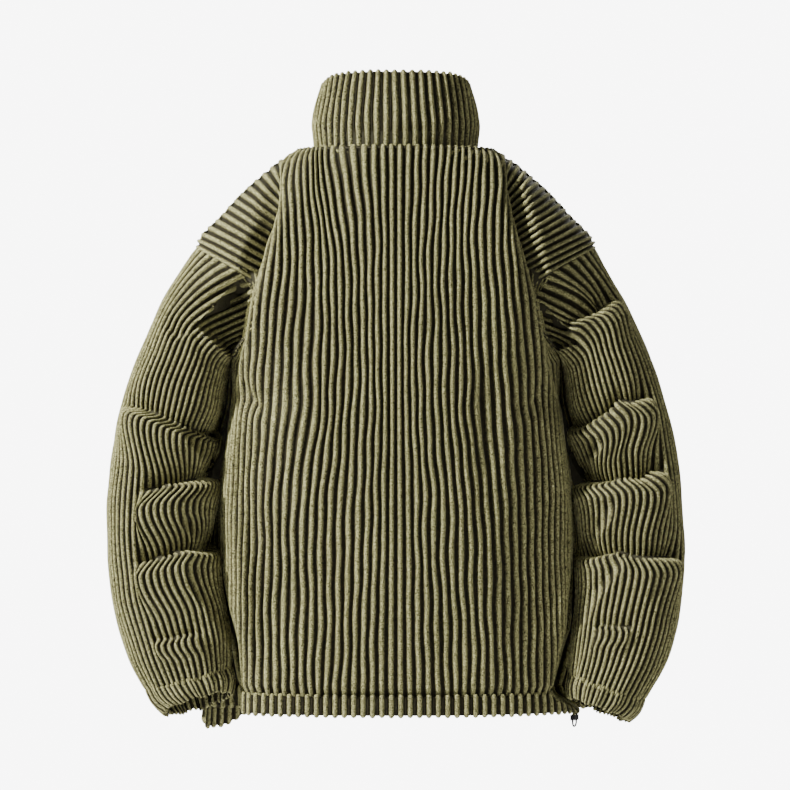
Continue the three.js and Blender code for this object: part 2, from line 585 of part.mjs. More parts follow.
// The frame of the hem where the drawcord comes out: X along it, Y up, Z outwards.
function cordFrame() {
  const here = bodyPoint(CORD.angle, HEM_EDGE);
  const before = bodyPoint(CORD.angle - CORD.half, HEM_EDGE);
  const along = bodyPoint(CORD.angle + CORD.half, HEM_EDGE).sub(before);
  along.setZ(0).normalize();
  const up = vec(0, 0, 1);
  const out = along.clone().cross(up);
  if (out.dot(here) < 0) {
    out.negate();
    along.negate();
  }
  return new THREE.Matrix4().makeBasis(along, up, out).setPosition(here.x, here.y, 0);
}

function cordPieces() {
  const frame = cordFrame();
  const points = CORD_ROUTE.map(({ along, inside, z }) => vec(along, z, -inside).applyMatrix4(frame));
  const route = new THREE.CatmullRomCurve3(points, false, 'centripetal');
  const section = new THREE.Shape();
  section.absarc(0, 0, CORD.diameter / 2, 0, 2 * Math.PI);
  const bends = { extrudePath: route, steps: CORD.steps, curveSegments: CORD.sides / 2 };
  add('hem_cord', new THREE.ExtrudeGeometry(section, { ...bends, bevelEnabled: false }), ELASTIC);

  const strand = CORD_ROUTE[0].along;
  const block = new THREE.Shape();
  const [x, y, r] = [LOCK.width / 2, LOCK.depth / 2, LOCK.corner];
  block.moveTo(-x + r, -y).lineTo(x - r, -y).quadraticCurveTo(x, -y, x, -y + r).lineTo(x, y - r);
  block.quadraticCurveTo(x, y, x - r, y).lineTo(-x + r, y).quadraticCurveTo(-x, y, -x, y - r);
  block.lineTo(-x, -y + r).quadraticCurveTo(-x, -y, -x + r, -y);
  for (const at of [-strand, strand]) {
    block.holes.push(new THREE.Path().absarc(at, 0, LOCK.hole, 0, 2 * Math.PI, true));
  }
  const rounded = { depth: LOCK.height, bevelEnabled: false, curveSegments: CORD.sides };
  const lock = new THREE.ExtrudeGeometry(block, rounded);
  lock.rotateX(-Math.PI / 2).translate(0, LOCK.top - LOCK.height, -CORD_ROUTE[0].inside);
  add('cord_lock', lock, PLASTIC, frame);
}

bodyPieces();
sleevePieces();
collarPiece();
zipPieces();
cordPieces();

export default jacket;
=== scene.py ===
"""The looks of a wide-wale corduroy jacket, filled out and hollow, seen from behind.

Blender 4.5. Objects are in metres. The tables of the cut are in millimetres, +Z up, with
the wearer facing -Y, and the origin at the neck, level with the back collar seam.
"""
import math

import bmesh
import bpy
import numpy as np
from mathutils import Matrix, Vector


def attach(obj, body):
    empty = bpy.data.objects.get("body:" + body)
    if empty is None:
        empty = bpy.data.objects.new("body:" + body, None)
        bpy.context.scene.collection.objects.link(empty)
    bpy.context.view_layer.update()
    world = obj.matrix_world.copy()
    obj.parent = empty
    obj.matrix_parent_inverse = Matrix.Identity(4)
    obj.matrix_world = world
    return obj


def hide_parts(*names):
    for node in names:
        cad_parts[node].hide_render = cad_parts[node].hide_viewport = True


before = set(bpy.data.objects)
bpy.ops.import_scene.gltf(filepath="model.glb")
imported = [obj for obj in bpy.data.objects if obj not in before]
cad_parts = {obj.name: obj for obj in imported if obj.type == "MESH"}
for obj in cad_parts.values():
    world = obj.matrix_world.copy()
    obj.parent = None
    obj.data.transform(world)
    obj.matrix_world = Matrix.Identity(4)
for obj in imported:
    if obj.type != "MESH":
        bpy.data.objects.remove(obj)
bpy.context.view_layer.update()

MM = 0.001
JACKET = "jacket"

# ---- camera, light and floor ----------------------------------------------------------
CAMERA = {"place": (0.001, 4.0, -0.300), "lens": 151.0}
FLOOR = {"level": -1.15, "half": 1.5, "color": (0.82, 0.82, 0.82, 1.0), "roughness": 0.9}
LIGHTS = [
    # name, place, size, watts, aims at
    ("key", (3.42, 1.65, 2.1), 0.4, 462.0, (0.0, 0.05, -0.30)),
    ("fill", (-2.2, 3.2, 0.3), 1.4, 17.0, (0.0, 0.0, -0.35)),
    ("front", (-1.2, -3.2, 1.2), 1.6, 150.0, (0.0, 0.0, -0.35)),
]
# strengths of the light all round and of the backdrop, and the directions between which
# one gives way to the other
STUDIO = {"ambient": 0.17, "backdrop": 8.0, "from": -0.984, "to": -0.95}


def aim(obj, target):
    """Turns an object's -Z axis towards a point."""
    obj.rotation_euler = (Vector(target) - obj.location).to_track_quat("-Z", "Y").to_euler()


def place_camera():
    x, _, z = CAMERA["place"]
    data = bpy.data.cameras.new("camera")
    data.lens = CAMERA["lens"]
    camera = bpy.data.objects.new("camera", data)
    camera.location = CAMERA["place"]
    bpy.context.collection.objects.link(camera)
    aim(camera, (x, 0.0, z))
    bpy.context.scene.camera = camera


def place_lights():
    for name, place, size, watts, target in LIGHTS:
        lamp = bpy.data.lights.new(name, "AREA")
        lamp.size = size
        lamp.energy = watts
        light = bpy.data.objects.new(name, lamp)
        light.location = place
        bpy.context.collection.objects.link(light)
        aim(light, target)


def light_studio():
    """Soft white light from all round, and a bright backdrop on the far side."""
    world = bpy.data.worlds.new("studio")
    world.use_nodes = True
    nodes, links = world.node_tree.nodes, world.node_tree.links
    background = nodes["Background"]
    background.inputs["Color"].default_value = (1.0, 1.0, 1.0, 1.0)
    direction = nodes.new("ShaderNodeSeparateXYZ")
    links.new(nodes.new("ShaderNodeTexCoord").outputs["Generated"], direction.inputs[0])
    glow = nodes.new("ShaderNodeMapRange")
    glow.interpolation_type = "SMOOTHSTEP"
    for name, value in (("From Min", STUDIO["from"]), ("From Max", STUDIO["to"]),
                        ("To Min", STUDIO["backdrop"]), ("To Max", STUDIO["ambient"])):
        glow.inputs[name].default_value = value
    links.new(direction.outputs["Y"], glow.inputs["Value"])
    links.new(glow.outputs["Result"], background.inputs["Strength"])
    bpy.context.scene.world = world


def lay_floor():
    half, level = FLOOR["half"], FLOOR["level"]
    mesh = bpy.data.meshes.new("floor")
    corners = [(-half, -half, level), (half, -half, level), (half, half, level), (-half, half, level)]
    mesh.from_pydata(corners, [], [(0, 1, 2, 3)])
    floor = bpy.data.objects.new("floor", mesh)
    bpy.context.collection.objects.link(floor)
    paint = bpy.data.materials.new("floor_paint")
    paint.use_nodes = True
    shader = paint.node_tree.nodes["Principled BSDF"]
    shader.inputs["Base Color"].default_value = FLOOR["color"]
    shader.inputs["Roughness"].default_value = FLOOR["roughness"]
    mesh.materials.append(paint)


place_camera()
place_lights()
light_studio()
lay_floor()


# ---- materials ------------------------------------------------------------------------
class Tree:
    """A short way to add nodes to a tree and join them."""

    def __init__(self, tree):
        self.tree = tree

    def add(self, kind, inputs=(), **settings):
        node = self.tree.nodes.new(kind)
        for key, value in settings.items():
            setattr(node, key, value)
        for key, value in dict(inputs).items():
            self.put(node.inputs[key], value)
        return node

    def put(self, socket, value):
        if isinstance(value, bpy.types.NodeSocket):
            self.tree.links.new(value, socket)
        else:
            socket.default_value = value

    def math(self, operation, *values):
        node = self.add("ShaderNodeMath", operation=operation)
        for socket, value in zip(node.inputs, values):
            self.put(socket, value)
        return node.outputs[0]

    def mix(self, factor, a, b, blend="MIX"):
        node = self.add("ShaderNodeMix", data_type="RGBA", blend_type=blend)
        self.put(node.inputs["Factor"], factor)
        self.put([s for s in node.inputs if s.name == "A" and s.type == "RGBA"][0], a)
        self.put([s for s in node.inputs if s.name == "B" and s.type == "RGBA"][0], b)
        return [s for s in node.outputs if s.type == "RGBA"][0]

    def span(self, value, from_low, from_high, to_low, to_high):
        """Carries a value from one range over to another."""
        node = self.add("ShaderNodeMapRange", {"Value": value, "From Min": from_low,
                                               "From Max": from_high, "To Min": to_low,
                                               "To Max": to_high})
        return node.outputs["Result"]

    def bump(self, shader, height, distance, strength):
        """Gives a shader a fine relief; the distance is in metres."""
        relief = self.add("ShaderNodeBump", {"Height": height, "Distance": distance,
                                             "Strength": strength})
        self.put(shader.inputs["Normal"], relief.outputs[0])


def nap_group():
    """Fuzz of the pile: a fine speckle, streaks in the cloth and broad uneven patches."""
    group = bpy.data.node_groups.new("pile_nap", "ShaderNodeTree")
    for name in ("Speckle", "Streaks", "Patches"):
        group.interface.new_socket(name, in_out="OUTPUT", socket_type="NodeSocketFloat")
    t = Tree(group)
    end = t.add("NodeGroupOutput")
    place = t.add("ShaderNodeTexCoord").outputs["Object"]
    uv = t.add("ShaderNodeUVMap", uv_map="cloth").outputs["UV"]
    speckle = t.add("ShaderNodeTexNoise", {"Vector": place, "Scale": 880.0, "Detail": 2.0, "Roughness": 0.6})
    stretched = t.add("ShaderNodeMapping", {"Vector": uv, "Scale": (6.0, 1.7, 1.0),
                                            "Rotation": (0, 0, 0.35)})
    streaks = t.add("ShaderNodeTexNoise", {"Vector": stretched.outputs[0], "Scale": 1.0, "Detail": 3.0,
                                           "Roughness": 0.65})
    patches = t.add("ShaderNodeTexNoise", {"Vector": place, "Scale": 14.0, "Detail": 2.0, "Roughness": 0.5})
    t.put(end.inputs["Speckle"], speckle.outputs["Fac"])
    t.put(end.inputs["Streaks"], streaks.outputs["Fac"])
    t.put(end.inputs["Patches"], patches.outputs["Fac"])
    return group


# the pile's colour on a wale's crest; the darker colours down its sides and in the groove are painted shade
PILE_CREST = (0.315, 0.302, 0.130, 1.0)
PILE_SIDE_SHADE = (0.140, 0.130, 0.056, 1.0)
PILE_GROOVE_SHADE = (0.016, 0.013, 0.004, 1.0)


def new_material(name):
    material = bpy.data.materials.new(name)
    material.use_nodes = True
    tree = Tree(material.node_tree)
    return material, tree, material.node_tree.nodes["Principled BSDF"]


def corduroy_material(nap):
    material, t, shader = new_material("olive_corduroy")
    noise = t.add("ShaderNodeGroup", node_tree=nap)
    speckle, streaks, patches = (noise.outputs[name] for name in ("Speckle", "Streaks", "Patches"))
    # painted shade: by the rib height, the pile darkens from the crest down the wale's sides and into the
    # groove
    ridge = t.add("ShaderNodeAttribute", attribute_name="ridge").outputs["Fac"]
    ruffled = t.math("ADD", ridge, t.span(speckle, 0.3, 0.7, -0.10, 0.10))
    low = t.mix(t.span(ruffled, 0.25, 0.72, 0.0, 1.0), PILE_GROOVE_SHADE, PILE_SIDE_SHADE)
    color = t.mix(t.span(ruffled, 0.60, 0.98, 0.0, 1.0), low, PILE_CREST)
    fuzz = t.span(speckle, 0.35, 0.65, 0.06, 1.98)
    grain = t.math("MULTIPLY", fuzz, t.span(streaks, 0.3, 0.7, 0.58, 1.42))
    tone = t.math("MULTIPLY", grain, t.span(patches, 0.3, 0.7, 0.88, 1.12))
    grey = t.add("ShaderNodeCombineColor", {"Red": tone, "Green": tone,
                                            "Blue": t.math("POWER", tone, 1.1)})
    t.put(shader.inputs["Base Color"], t.mix(1.0, color, grey.outputs[0], "MULTIPLY"))
    shader.inputs["Roughness"].default_value = 0.92
    shader.inputs["Specular IOR Level"].default_value = 0.25
    shader.inputs["Sheen Weight"].default_value = 0.14
    shader.inputs["Sheen Roughness"].default_value = 0.45
    shader.inputs["Sheen Tint"].default_value = (0.80, 0.79, 0.55, 1.0)
    height = t.math("ADD", t.math("MULTIPLY", speckle, 0.7), t.math("MULTIPLY", streaks, 0.5))
    t.bump(shader, height, 0.0008, 0.5)
    return material


def weave_material():
    """The plain woven back of the corduroy, seen inside the jacket."""
    material, t, shader = new_material("corduroy_back")
    place = t.add("ShaderNodeTexCoord").outputs["Object"]
    yarn = {"Vector": place, "Scale": 260.0, "Distortion": 1.2, "Detail": 2.0}
    threads = t.add("ShaderNodeTexWave", yarn, bands_direction="Z")
    cross = t.add("ShaderNodeTexWave", yarn, bands_direction="X")
    both = t.math("MULTIPLY", threads.outputs["Fac"], cross.outputs["Fac"])
    color = t.mix(both, (0.030, 0.027, 0.012, 1.0), (0.085, 0.078, 0.038, 1.0))
    t.put(shader.inputs["Base Color"], color)
    shader.inputs["Roughness"].default_value = 0.95
    t.bump(shader, both, 0.0004, 0.6)
    return material


def tape_material():
    material, t, shader = new_material("zip_tape_weave")
    uv = t.add("ShaderNodeUVMap", uv_map="cloth").outputs["UV"]
    twill = t.add("ShaderNodeTexWave", {"Vector": uv, "Scale": 3.2, "Distortion": 0.6, "Detail": 1.0},
                  bands_direction="DIAGONAL")
    fine = t.add("ShaderNodeTexNoise", {"Vector": uv, "Scale": 60.0, "Detail": 2.0})
    mask = t.math("MULTIPLY", twill.outputs["Fac"], t.span(fine.outputs["Fac"], 0.3, 0.7, 0.6, 1.0))
    t.put(shader.inputs["Base Color"], t.mix(mask, (0.018, 0.017, 0.008, 1.0), (0.075, 0.070, 0.036, 1.0)))
    shader.inputs["Roughness"].default_value = 0.85
    t.bump(shader, mask, 0.0003, 0.7)
    return material


def metal_material():
    material, t, shader = new_material("dark_plated_metal")
    place = t.add("ShaderNodeTexCoord").outputs["Object"]
    brushed = t.add("ShaderNodeMapping", {"Vector": place, "Scale": (900.0, 900.0, 60.0)})
    marks = t.add("ShaderNodeTexNoise", {"Vector": brushed.outputs[0], "Scale": 1.0, "Detail": 3.0})
    worn = t.add("ShaderNodeTexNoise", {"Vector": place, "Scale": 160.0, "Detail": 4.0, "Roughness": 0.7})
    mask = t.span(worn.outputs["Fac"], 0.45, 0.7, 0.0, 1.0)
    t.put(shader.inputs["Base Color"], t.mix(mask, (0.115, 0.110, 0.098, 1.0), (0.30, 0.29, 0.26, 1.0)))
    t.put(shader.inputs["Roughness"], t.span(marks.outputs["Fac"], 0.3, 0.7, 0.26, 0.48))
    shader.inputs["Metallic"].default_value = 0.95
    t.bump(shader, marks.outputs["Fac"], 0.0001, 0.3)
    return material


def elastic_material():
    material, t, shader = new_material("braided_elastic")
    place = t.add("ShaderNodeTexCoord").outputs["Object"]
    braid = t.add("ShaderNodeTexVoronoi", {"Vector": place, "Scale": 1700.0})
    mask = t.span(braid.outputs["Distance"], 0.1, 0.6, 1.0, 0.0)
    t.put(shader.inputs["Base Color"], t.mix(mask, (0.004, 0.004, 0.004, 1.0), (0.030, 0.030, 0.028, 1.0)))
    shader.inputs["Roughness"].default_value = 0.6
    t.bump(shader, mask, 0.0003, 0.8)
    return material


def plastic_material():
    material, t, shader = new_material("glossy_black_plastic")
    place = t.add("ShaderNodeTexCoord").outputs["Object"]
    scuffs = t.add("ShaderNodeTexNoise", {"Vector": place, "Scale": 900.0, "Detail": 4.0, "Roughness": 0.7})
    mask = t.span(scuffs.outputs["Fac"], 0.5, 0.75, 0.0, 1.0)
    t.put(shader.inputs["Base Color"], t.mix(mask, (0.006, 0.006, 0.006, 1.0), (0.03, 0.03, 0.03, 1.0)))
    t.put(shader.inputs["Roughness"], t.span(mask, 0.0, 1.0, 0.12, 0.35))
    shader.inputs["Coat Weight"].default_value = 0.5
    t.bump(shader, scuffs.outputs["Fac"], 0.00005, 0.4)
    return material


corduroy = corduroy_material(nap_group())
weave = weave_material()
tape = tape_material()
metal = metal_material()
elastic = elastic_material()
plastic = plastic_material()


# ---- the elastic loop at the hem and its lock -----------------------------------------
# where the loop comes out of the hem: a place, the way along the hem and the way out of it
LOOP = {"origin": (-214.7913, 40.5679, 0.0), "along": (-0.4758, -0.87956, 0.0),
        "out": (-0.87956, 0.4758, 0.0)}
CORD = {"diameter": 0.0022, "length": 0.0358, "smoothing": 6}
LOOP_ROUTE = [
    # along the hem, inside its face, height, in millimetres
    (-5, 1.5, -680.8), (-5, 1.5, -684), (-5, 1.5, -687), (-5, 1.5, -690), (-4.7, 1.5, -692.2),
    (-3.4, 1.6, -694.4), (-1.8, 1.7, -695.5), (0, 1.8, -695.9), (1.8, 1.7, -695.5),
    (3.4, 1.6, -694.4), (4.7, 1.5, -692.2), (5, 1.5, -690), (5, 1.5, -687), (5, 1.5, -684),
    (5, 1.5, -680.8)]


def rounded(points, steps):
    """Points along a smooth line through the given ones."""
    p = np.concatenate([[2 * points[0] - points[1]], points, [2 * points[-1] - points[-2]]])
    t = np.linspace(0, 1, steps, endpoint=False)[:, None]
    spans = []
    for a, b, c, d in zip(p, p[1:], p[2:], p[3:]):
        spans.append(0.5 * (2 * b + (c - a) * t + (2 * a - 5 * b + 4 * c - d) * t ** 2
                            + (3 * b - a - 3 * c + d) * t ** 3))
    return np.concatenate(spans + [points[-1:]])


def dress_node(node, material, bevel):
    """Gives a hard piece its finish and softens its edges."""
    piece = bpy.data.objects[node]
    piece.data.materials.clear()
    piece.data.materials.append(material)
    edges = piece.modifiers.new("edges", "BEVEL")
    edges.width = bevel
    edges.segments = 3
    edges.limit_method = "ANGLE"
    edges.harden_normals = True
    return piece


def make_cord():
    along, out = (np.array(LOOP[name]) for name in ("along", "out"))
    rows = np.array(LOOP_ROUTE)
    line = np.array(LOOP["origin"]) + rows[:, :1] * along - rows[:, 1:2] * out + rows[:, 2:] * [0, 0, 1]
    line = rounded(line, CORD["smoothing"]) * MM
    curve = bpy.data.curves.new("hem_elastic", "CURVE")
    curve.dimensions = "3D"
    curve.bevel_depth = CORD["diameter"] / 2
    curve.bevel_resolution = 4
    curve.use_fill_caps = True
    spline = curve.splines.new("POLY")
    spline.points.add(len(line) - 1)
    spline.points.foreach_set("co", np.append(line, np.ones((len(line), 1)), axis=1).ravel())
    curve.materials.append(elastic)
    cord = bpy.data.objects.new("hem_elastic", curve)
    bpy.context.collection.objects.link(cord)
    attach(cord, JACKET)
    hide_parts("hem_cord")
    lock = dress_node("cord_lock", plastic, 0.0007)


make_cord()


# ---- the cut, in millimetres ----------------------------------------------------------
NECK_DROP, NECK_DROP_REACH = 62.0, 260.0        # the front of the neck is cut lower
SHOULDER_TIP, ARMPIT = -119.0, -262.0
HEM_SEAM, HEM_EDGE = -652.0, -680.0
SLEEVE_ROUNDNESS = 2.3
SLEEVE_SETTLED = 2.0
LAST_RING = 12
COLLAR = {"seat": 0.9, "half": 91.0, "depth": 66.0, "back_top": 87.0, "side_top": 69.0,
          "front_top": 13.0, "swell": 0.025}
ZIP_SLOT = 3.8
SEAM_ANGLE = 0.12


def curve(x, y):
    """A smooth curve through the points (x, y) that never overshoots one of them."""
    x, y = np.array(x, float), np.array(y, float)
    step = np.diff(y) / np.diff(x)
    slope = np.concatenate([step[:1], np.zeros(len(x) - 2), step[-1:]])
    same = step[:-1] * step[1:] > 0
    mean = 2 * step[:-1] * step[1:] / np.where(same, step[:-1] + step[1:], 1.0)
    slope[1:-1][same] = mean[same]

    def value(at):
        at = np.clip(at, x[0], x[-1])
        i = np.clip(np.searchsorted(x, at, side="right") - 1, 0, len(x) - 2)
        width, rise = x[i + 1] - x[i], y[i + 1] - y[i]
        t = (at - x[i]) / width
        a, b = width * slope[i] - rise, rise - width * slope[i + 1]
        return y[i] + t * rise + t * (1 - t) * (a * (1 - t) + b * t)

    return value


def table(names, rows):
    """The columns of a table as curves over its first column."""
    first, *others = zip(*sorted(rows))
    return {name: curve(first, values) for name, values in zip(names.split()[1:], others)}


# half width, middle, depth behind and in front, and squareness of the body at each level
BODY = table("level half mid back front power", [
    (0, 104, 0, 78, 78, 2.0), (-5, 122, 0, 81, 80, 2.0), (-12, 134, 0, 85, 84, 2.0),
    (-26, 153, 0, 91, 88, 2.0),
    (-54, 185, 0, 101, 95, 2.05), (-82, 211, 0, 109, 101, 2.1), (-119, 242, 0, 116, 108, 2.15),
    (-170, 228, 0, 121, 113, 2.3), (-262, 200, 0, 124, 117, 2.5), (-300, 199, -6, 124, 117, 2.5),
    (-330, 201, -15, 124, 118, 2.6), (-420, 213, -35, 122, 118, 2.6),
    (-520, 219, -45, 119, 116, 2.6), (-620, 230, -50, 116, 113, 2.6),
    (-680, 240, -50, 113, 112, 2.6)])

# the edge of the fuller middle of the back, beside which a deep fold runs down each side
EDGE = table("level left right deep", [
    (0, 139, 131, 0), (-20, 139, 131, 0), (-60, 138, 134, 12), (-138, 158, 153, 20),
    (-195, 173, 169, 18), (-262, 186, 181, 12), (-306, 198, 193, 10), (-350, 207, 205, 8),
    (-400, 209, 211, 8), (-447, 204, 213, 8), (-494, 197, 214, 8), (-617, 187, 203, 10),
    (-680, 181, 214, 6)])
EDGE_SHAPE = {"offset": 8.0, "width": 12.0, "fade": 4.0}

# half widths that the sleeves press the body back to, and the Y behind which they press
SLEEVE_PRESS = table("level left right low", [
    (-420, 240, 240, -5), (-480, 216, 216, -4), (-520, 208, 211, -2), (-545, 202, 207, 0),
    (-575, 193, 205, -2), (-608, 187, 197, -8), (-655, 185, 188, -13), (-668, 185, 207, -13),
    (-680, 184, 226, -13)])
PRESS_SHAPE = {"softness": 5.0, "fade": 22.0, "from": 100.0, "to": 150.0}

# angles round the body of the armhole's edges, from the centre back and the centre front
ARMHOLE = table("level back front", [
    (-119, 90, 90), (-124, 76, 76), (-138, 61, 62), (-165, 47, 50), (-190, 45, 47),
    (-215, 48, 50), (-240, 59, 61), (-256, 74, 75), (-262, 90, 90)])

# rings of a sleeve from the armhole down: its outer and inner ends, middle and half depth
RING_COLUMNS = "ring outX outZ inX inZ mid deep"
SLEEVES = {
    1: table(RING_COLUMNS, [
        (0, 242, -119, 200, -262, 0, 66), (1, 264, -155, 202, -272, 3, 65),
        (2, 285, -193, 203.5, -284, 5, 63), (3, 304, -237, 207, -301, 7, 61),
        (4, 321, -280, 209, -322, 9, 60), (5, 336, -334, 213, -352, 11, 60),
        (6, 344, -393, 216, -396, 13, 60), (7, 347, -440, 217, -440, 16, 60),
        (8, 346, -486, 216, -482, 20, 58), (9, 342, -534, 210, -520, 26, 56),
        (10, 334, -572, 203, -554, 31, 54), (11, 320, -614, 196, -592, 37, 51),
        (12, 301, -650, 196, -622, 42, 45)]),
    -1: table(RING_COLUMNS, [
        (0, 242, -119, 200, -262, 0, 66), (1, 259, -155, 202, -272, 3, 65),
        (2, 279, -193, 203.5, -284, 5, 63), (3, 299, -237, 205, -301, 7, 61),
        (4, 315, -280, 206, -320, 9, 60), (5, 331, -334, 209, -350, 11, 60),
        (6, 341, -393, 213, -394, 13, 60), (7, 345, -440, 217, -438, 16, 60),
        (8, 348, -486, 218, -482, 20, 58), (9, 344, -534, 216, -522, 26, 56),
        (10, 338, -572, 214, -557, 31, 54), (11, 323, -620, 209, -598, 37, 51),
        (12, 299, -662, 206, -630, 42, 45)]),
}
CUFFS = {
    1: table(RING_COLUMNS, [
        (0, 301, -650, 196, -622, 42, 45), (0.5, 290, -668, 193, -640, 44, 43),
        (1, 277, -682, 194, -657, 46, 40)]),
    -1: table(RING_COLUMNS, [
        (0, 299, -662, 206, -630, 42, 45), (0.5, 290, -678, 204, -647, 44, 43),
        (1, 278, -691, 204, -662, 46, 40)]),
}
SIDES = {1: "left", -1: "right"}


def smooth(x, low, high):
    """0 below low, 1 above high and an even curve between them."""
    t = np.clip((x - low) / (high - low), 0.0, 1.0)
    return t * t * (3 - 2 * t)


def sin(degrees):
    return np.sin(np.radians(degrees))


def cos(degrees):
    return np.cos(np.radians(degrees))


def neck_drop(angle, level):
    front = np.maximum(0.0, -cos(angle)) ** 1.5
    return NECK_DROP * front * np.clip(1 + level / NECK_DROP_REACH, 0, 1) ** 2


# the front hem hangs lower than the back, and lower still at the wearer's left; `front` is
# in degrees from the centre back and `left_from` in sines of them
HEM_DROP = {"front": (84, 110), "all": 4.0, "left": 27.0, "left_from": (0.60, 0.86),
            "start": -540.0, "over": 140.0}


def hem_drop(angle, level):
    front = smooth(np.abs(angle), *HEM_DROP["front"])
    near = np.clip((HEM_DROP["start"] - level) / HEM_DROP["over"], 0, 1)
    left = smooth(sin(angle), *HEM_DROP["left_from"])
    return front * (HEM_DROP["all"] + HEM_DROP["left"] * left) * near ** 2


def body_point(angle, level, fold=1.0):
    """The outside of the body. Angle 0 is the centre back and 90 the wearer's left side."""
    across, along = sin(angle), cos(angle)
    left = across >= 0
    power = BODY["power"](level)
    norm = (np.abs(across) ** power + np.abs(along) ** power) ** (1 / power)
    mid = BODY["mid"](level)
    reach = np.where(along >= 0, BODY["back"](level) - mid, BODY["front"](level) + mid)
    x = np.abs(BODY["half"](level) * across / norm)
    y = mid + reach * along / norm
    edge = np.where(left, EDGE["left"](level), EDGE["right"](level))
    away = (x - edge - EDGE_SHAPE["offset"]) / EDGE_SHAPE["width"]
    dent = EDGE["deep"](level) * np.exp(-away ** 2) * np.clip(along * EDGE_SHAPE["fade"], 0, 1)
    y = y - fold * dent
    over = x - np.where(left, SLEEVE_PRESS["left"](level), SLEEVE_PRESS["right"](level))
    low = SLEEVE_PRESS["low"](level)
    press = smooth(y, low - PRESS_SHAPE["fade"], low) * smooth(x, PRESS_SHAPE["from"], PRESS_SHAPE["to"])
    x = x - press * (over + np.hypot(over, PRESS_SHAPE["softness"])) / 2
    z = level - neck_drop(angle, level) - hem_drop(angle, level)
    return np.stack(np.broadcast_arrays(np.where(left, x, -x), y, z), -1)


def ring_point(rings, sign, angle, ring):
    """The outside of a sleeve or cuff. Angle 0 is its outer edge and 90 its back."""
    c, s = cos(angle), sin(angle)
    norm = (np.abs(c) ** SLEEVE_ROUNDNESS + np.abs(s) ** SLEEVE_ROUNDNESS) ** (1 / SLEEVE_ROUNDNESS)
    out_x, out_z, in_x, in_z = (rings[name](ring) for name in ("outX", "outZ", "inX", "inZ"))
    x = (out_x + in_x) / 2 + (out_x - in_x) / 2 * c / norm
    z = (out_z + in_z) / 2 + (out_z - in_z) / 2 * c / norm
    y = rings["mid"](ring) + rings["deep"](ring) * s / norm
    return np.stack(np.broadcast_arrays(sign * x, y, z), -1)


def sleeve_point(sign, angle, ring):
    """The outside of a sleeve: it starts on the armhole and settles onto its rings."""
    point = ring_point(SLEEVES[sign], sign, angle, ring)
    turn = np.mod(angle, 360.0)
    level = SHOULDER_TIP + (ARMPIT - SHOULDER_TIP) * (1 - cos(turn)) / 2
    around = np.where(turn <= 180, ARMHOLE["back"](level), 180 - ARMHOLE["front"](level))
    start = ring_point(SLEEVES[sign], sign, angle, np.zeros_like(ring))
    fade = np.clip(1 - ring / SLEEVE_SETTLED, 0, 1)[..., None] ** 2
    return point + (body_point(sign * around, level) - start) * fade


def collar_half(rise):
    return BODY["half"](0) + (COLLAR["half"] - BODY["half"](0)) * rise


def collar_point(angle, rise):
    """The outside of the collar. Rise is 0 at the neck seam and 1 at the top."""
    foot = body_point(angle, np.zeros_like(angle))
    s, c = sin(angle), cos(angle)
    tilt = (COLLAR["back_top"] + COLLAR["front_top"]) / 2
    swing = (COLLAR["back_top"] - COLLAR["front_top"]) / 2
    top_z = tilt + swing * c + (COLLAR["side_top"] - tilt) * s * s
    top = np.stack([COLLAR["half"] * s, COLLAR["depth"] * c, top_z], -1)
    rise = np.broadcast_to(rise, angle.shape)[..., None]
    point = foot + (top - foot) * rise
    swell = 1 + COLLAR["swell"] * np.sin(math.pi * rise)
    return point * np.concatenate([swell, swell, np.ones_like(swell)], -1) + [0, 0, COLLAR["seat"]]


# ---- corduroy -------------------------------------------------------------------------
WALE = 11.1                      # from one wale to the next on the body
SLEEVE_WALES = 50                # round a sleeve
CUFF_WALES = 52
STEPS = 8                        # mesh columns over one wale
BASE = 0.8                       # base cloth under the wales
RIB = {"back": 4.8, "body": 3.6, "sleeve": 3.8, "collar": 4.4, "cuff": 2.4}
RIB_POWER = 1.75                 # 2 is a half ellipse, more is fuller
RIB_WIDTH = 0.73                 # how much of the space from groove to groove a wale fills
SEAM_TUCK = 8.0                  # how far the body's cloth reaches down into the hem
ROLL = 4.5                       # radius of a seam edge that rolls over
BAND_ROLL = 3.2                  # radius of the folded edge of a hem or collar
SHARP_FROM = 75                  # degrees from which an edge is shaded sharp
UNEVEN = 0.10                    # how much the wales' heights differ
SEAM_HOLD = {"flat": 0.7, "fill": 0.4}   # how a seam presses wales down and fills grooves


def ripple(a, b, seed):
    """A gentle uneven wave between about -1 and 1 over two coordinates in millimetres."""
    total = 0.0
    for k, (pa, pb) in enumerate([(0.021, 0.013), (-0.034, 0.027), (0.055, -0.041), (0.089, 0.072)]):
        total = total + np.sin(a * pa + b * pb + seed * (1.7 + k)) / (1.3 + 0.5 * k)
    return total / 2.0


def wale_steps(first, last):
    """The mesh columns of a run of wales, close together in the grooves."""
    within = (1 - np.cos(np.arange(STEPS) * math.pi / STEPS)) / 2
    return np.concatenate([(np.arange(first, last)[:, None] + within).ravel(), [last]])


def rib_height(u):
    """0 in a groove and 1 on the crest of a wale."""
    phase = u - np.floor(u + 1e-7)
    away = np.clip(np.abs(2 * phase - 1) / RIB_WIDTH, 0, 1)
    return (1 - away ** RIB_POWER) ** (1 / RIB_POWER)


def gradient(grid, axis, closed=False):
    if closed and axis == 0:
        return (np.roll(grid, -1, 0) - np.roll(grid, 1, 0)) / 2
    return np.gradient(grid, axis=axis)


def unit(v):
    return v / np.maximum(np.linalg.norm(v, axis=-1, keepdims=True), 1e-9)


def normals(grid, closed=False):
    """Unit normals of a grid of points, towards the side that `u` x `v` points to."""
    return unit(np.cross(gradient(grid, 0, closed), gradient(grid, 1)))


def towards(normal, y):
    """The normals of an open sheet, turned to face behind for 1 and in front for -1."""
    return normal * np.sign(normal[..., 1].mean()) * y


